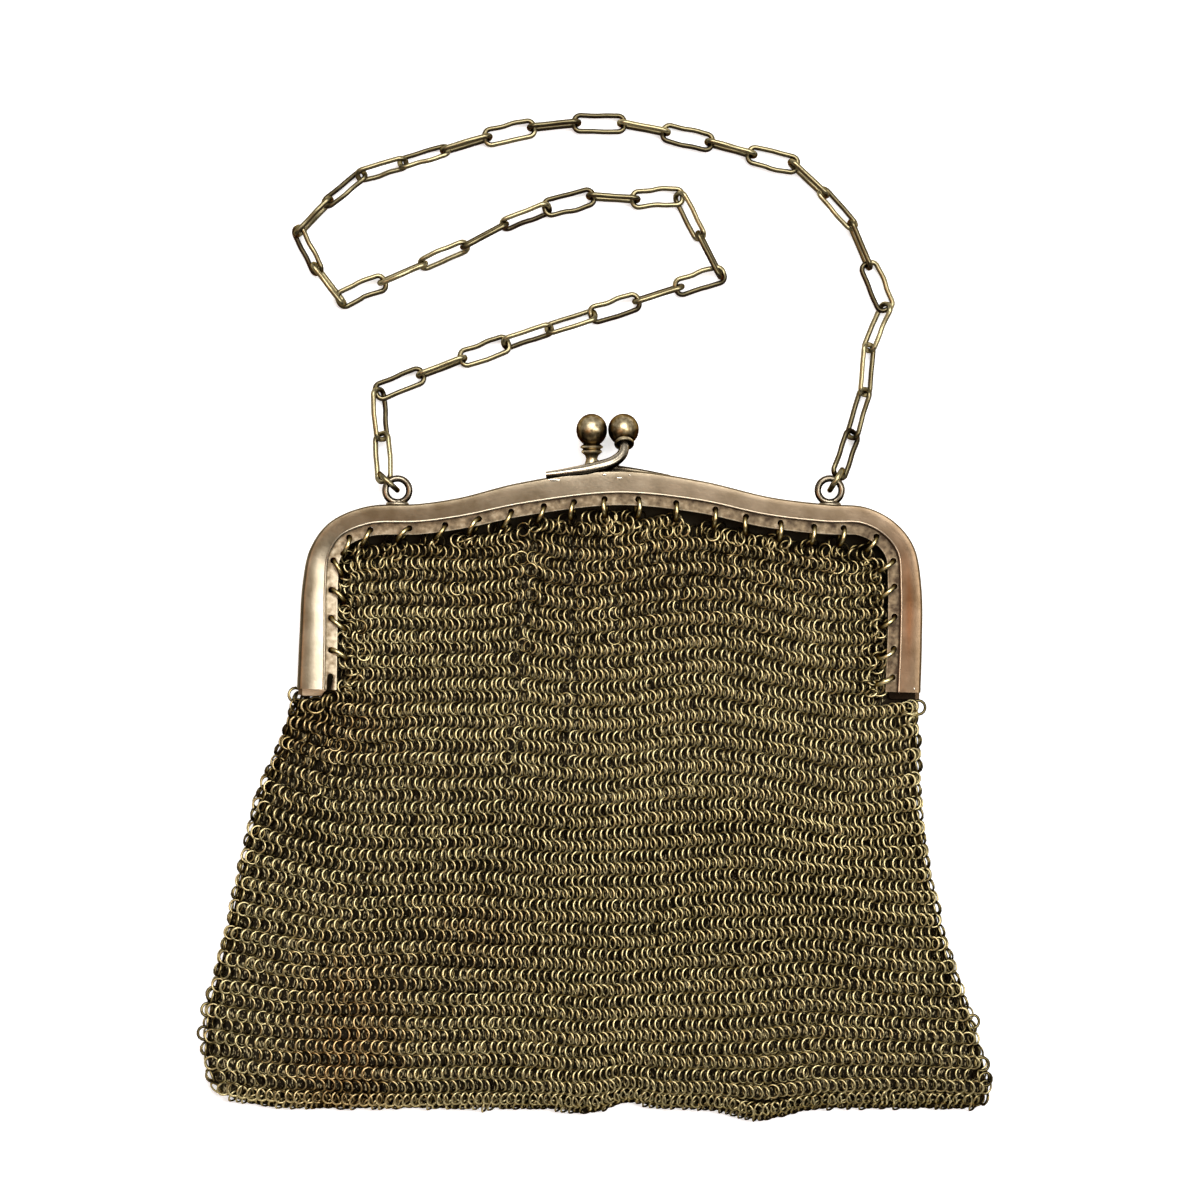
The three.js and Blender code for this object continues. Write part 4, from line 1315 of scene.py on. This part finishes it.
def lying_rings(centres, way, turn, lean):
    """Rings whose long way is turned in the table's plane, and that lean about it; both in degrees."""
    turn, lean = (np.radians(np.asarray(a, float))[:, None] for a in (turn, lean))
    along = np.cos(turn) * way + np.sin(turn) * np.cross(UP, way)
    across = np.cos(lean) * np.cross(UP, along) + np.sin(lean) * UP
    return centres, along, across, UP


def loose_rings():
    """Single rings that hang out of the edges or lie at the hinges."""
    x, y, level, radius, turn, lean = (list(column) for column in zip(*LOOSE_RINGS))
    tarnish_and_shade = np.array([LOOSE_SHADE["edge" if z is None else "hinge"] for z in level])
    level = [pouch_at(at, 3) / 2 + LOOSE_RISE if z is None else z for at, z in zip(y, level)]
    rings = lying_rings(np.column_stack([x, y, level]), np.array([0.0, 1.0, 0.0]), turn, lean)
    add_rings("mail_loose_rings", rings, MAIL, (np.array(radius), LOOSE_WIRE), FRONT_RING, tarnish_and_shade)


def edge_rings(ends, way):
    """Messy rings between the hangers and the mail's top row."""
    aside = np.cross(UP, way)
    centres = []
    for reach, offset in EDGE_SPOTS:
        jitter = rng.normal(0, EDGE_JITTER, ends.shape)
        centres.append(ends + way * reach + aside * offset + jitter)
    centres = np.concatenate(centres)
    level, spread = EDGE_LEVEL
    centres[:, 2] = level + rng.normal(0, spread, len(centres))
    turn = rng.normal(0, EDGE_TURN, len(centres))
    lean = rng.normal(*EDGE_LEAN, len(centres)) * rng.choice([-1, 1], len(centres))
    rings = lying_rings(centres, np.tile(way, (len(EDGE_SPOTS), 1)), turn, lean)
    add_rings("mail_top_rings", rings, MAIL, MAIL_SIZE, FRONT_RING, EDGE_SHADE)


def shade_sheet():
    """Thin dark sheet of painted shade on the back wall of the mail, which rises between the jaws."""
    places, inward, band = frame_stations()
    rim = places + inward * (band + FLANGE_WIDTH - SHADE_SHEET_UNDER_FLANGE)[:, None]
    apex = np.argmax(rim[:, 1])
    y = np.linspace(POUCH_ROWS[0, 0] + SHADE_SHEET_HEM_INSET, rim[apex, 1], SHADE_SHEET_ROWS)
    rim_left = np.interp(y, rim[: apex + 1, 1], rim[: apex + 1, 0])
    rim_right = np.interp(y, rim[apex:, 1][::-1], rim[apex:, 0][::-1])
    left = np.where(y > HINGE_Y, rim_left, pouch_at(y, 1) + SHADE_SHEET_INSET)
    right = np.where(y > HINGE_Y, rim_right, pouch_at(y, 2) - SHADE_SHEET_INSET)
    x = np.linspace(left, right, SHADE_SHEET_COLUMNS, axis=1)
    level = np.interp(y, *SHADE_SHEET_LEVELS)[:, None]
    upper = np.stack([x, y[:, None] + pouch_at(y, 4)[:, None] * hem_wave(x), level + 0 * x], -1)
    rings = np.concatenate([upper, upper[:, ::-1] - SHADE_SHEET_THICK * UP], axis=1)
    sides = 2 * SHADE_SHEET_COLUMNS
    ends = [
        [start + k, start + k + 1, start + sides - 2 - k, start + sides - 1 - k]
        for start in (0, (len(y) - 1) * sides)
        for k in range(SHADE_SHEET_COLUMNS - 1)
    ]
    shape = (rings.reshape(-1, 3), loft_faces(len(y), sides, False)[:-2] + ends)
    below = np.interp(rings[:, :, 0], rim[:, 0], rim[:, 1]) - rings[:, :, 1]
    begin, full = GLINTS_FROM
    add_piece("shade_sheet", shape, SHADE_SHEET, PLATE_CREASE, rub=blend(below, begin, full - begin).ravel())


# Light, floor and camera


def area_light(name, place, size, power, colour):
    """Soft box that faces the purse and isn't seen itself."""
    data = bpy.data.lights.new(name, "AREA")
    data.shape = "RECTANGLE"
    data.size, data.size_y = size[0] * MM, size[1] * MM
    data.energy = power
    data.color = colour
    light = add_object(name, data)
    light.location = to_row(place)
    away = light.location - Vector(to_row((0, 0, 0)))
    light.rotation_euler = away.to_track_quat("Z", "Y").to_euler()
    light.visible_camera = False


def studio():
    """Bright sky towards the clasp's side, dark towards the hem, and soft boxes above and beside."""
    world = bpy.data.worlds.new("studio")
    bpy.context.scene.world = world
    world.use_nodes = True
    tree = world.node_tree
    way = add_node(tree, "ShaderNodeTexCoord").outputs["Generated"]
    split = add_node(tree, "ShaderNodeSeparateXYZ", Vector=way)
    share = add_node(tree, "ShaderNodeMapRange", Value=split.outputs["Y"], From_Min=-1.0, From_Max=1.0)
    colour = add_ramp(tree, share.outputs["Result"], SKY_STOPS, [grey * SKY_TINT for grey in SKY_GREYS])
    set_inputs(tree.nodes["Background"], Color=colour)
    for name, light in LIGHTS.items():
        area_light(name, *light)


def floor():
    half = FLOOR_SIZE / 2
    mesh = bpy.data.meshes.new("floor")
    corners = [(x * half, y * half, -FLOOR_DROP) for x, y in ((-1, -1), (1, -1), (1, 1), (-1, 1))]
    mesh.from_pydata(to_row(corners).tolist(), [], [(0, 1, 2, 3)])
    white, _, shader = new_material("white_table")
    set_inputs(shader, Base_Color=FLOOR_COLOUR, Roughness=FLOOR_ROUGH)
    set_inputs(shader, Emission_Color=(*WHITE, 1.0), Emission_Strength=FLOOR_GLOW)
    mesh.materials.append(white)
    table = add_object("floor", mesh)


def camera():
    data = bpy.data.cameras.new("camera")
    data.lens = LENS
    data.sensor_width = SENSOR
    height = VIEW_SPAN * LENS / SENSOR + VIEW_LEVEL
    data.clip_end = CLIP_END
    eye = add_object("camera", data)
    eye.location = to_row((*VIEW_CENTRE, height))
    bpy.context.scene.camera = eye
    bpy.context.scene.view_settings.view_transform = "Standard"


camera()
floor()
studio()
jaw("frame_front_jaw", 1, "frame_front")
jaw("frame_back_jaw", -1, "frame_back")
clasp_half("clasp_front", "front", "frame_front")
clasp_half("clasp_back", "back", "frame_back")
solder_spots()
for end in ("left", "right"):
    chain_eye(end)
    hinge_pin(end)
    hinge_leaf(end)
    jump_ring(end)
for node in sorted(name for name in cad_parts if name.startswith("chain_link")):
    chain_link(node)
mail()
hem()
shade_sheet()
edge_rings(*hangers("hangers_front", 1))
hangers("hangers_back", -1)
loose_rings()
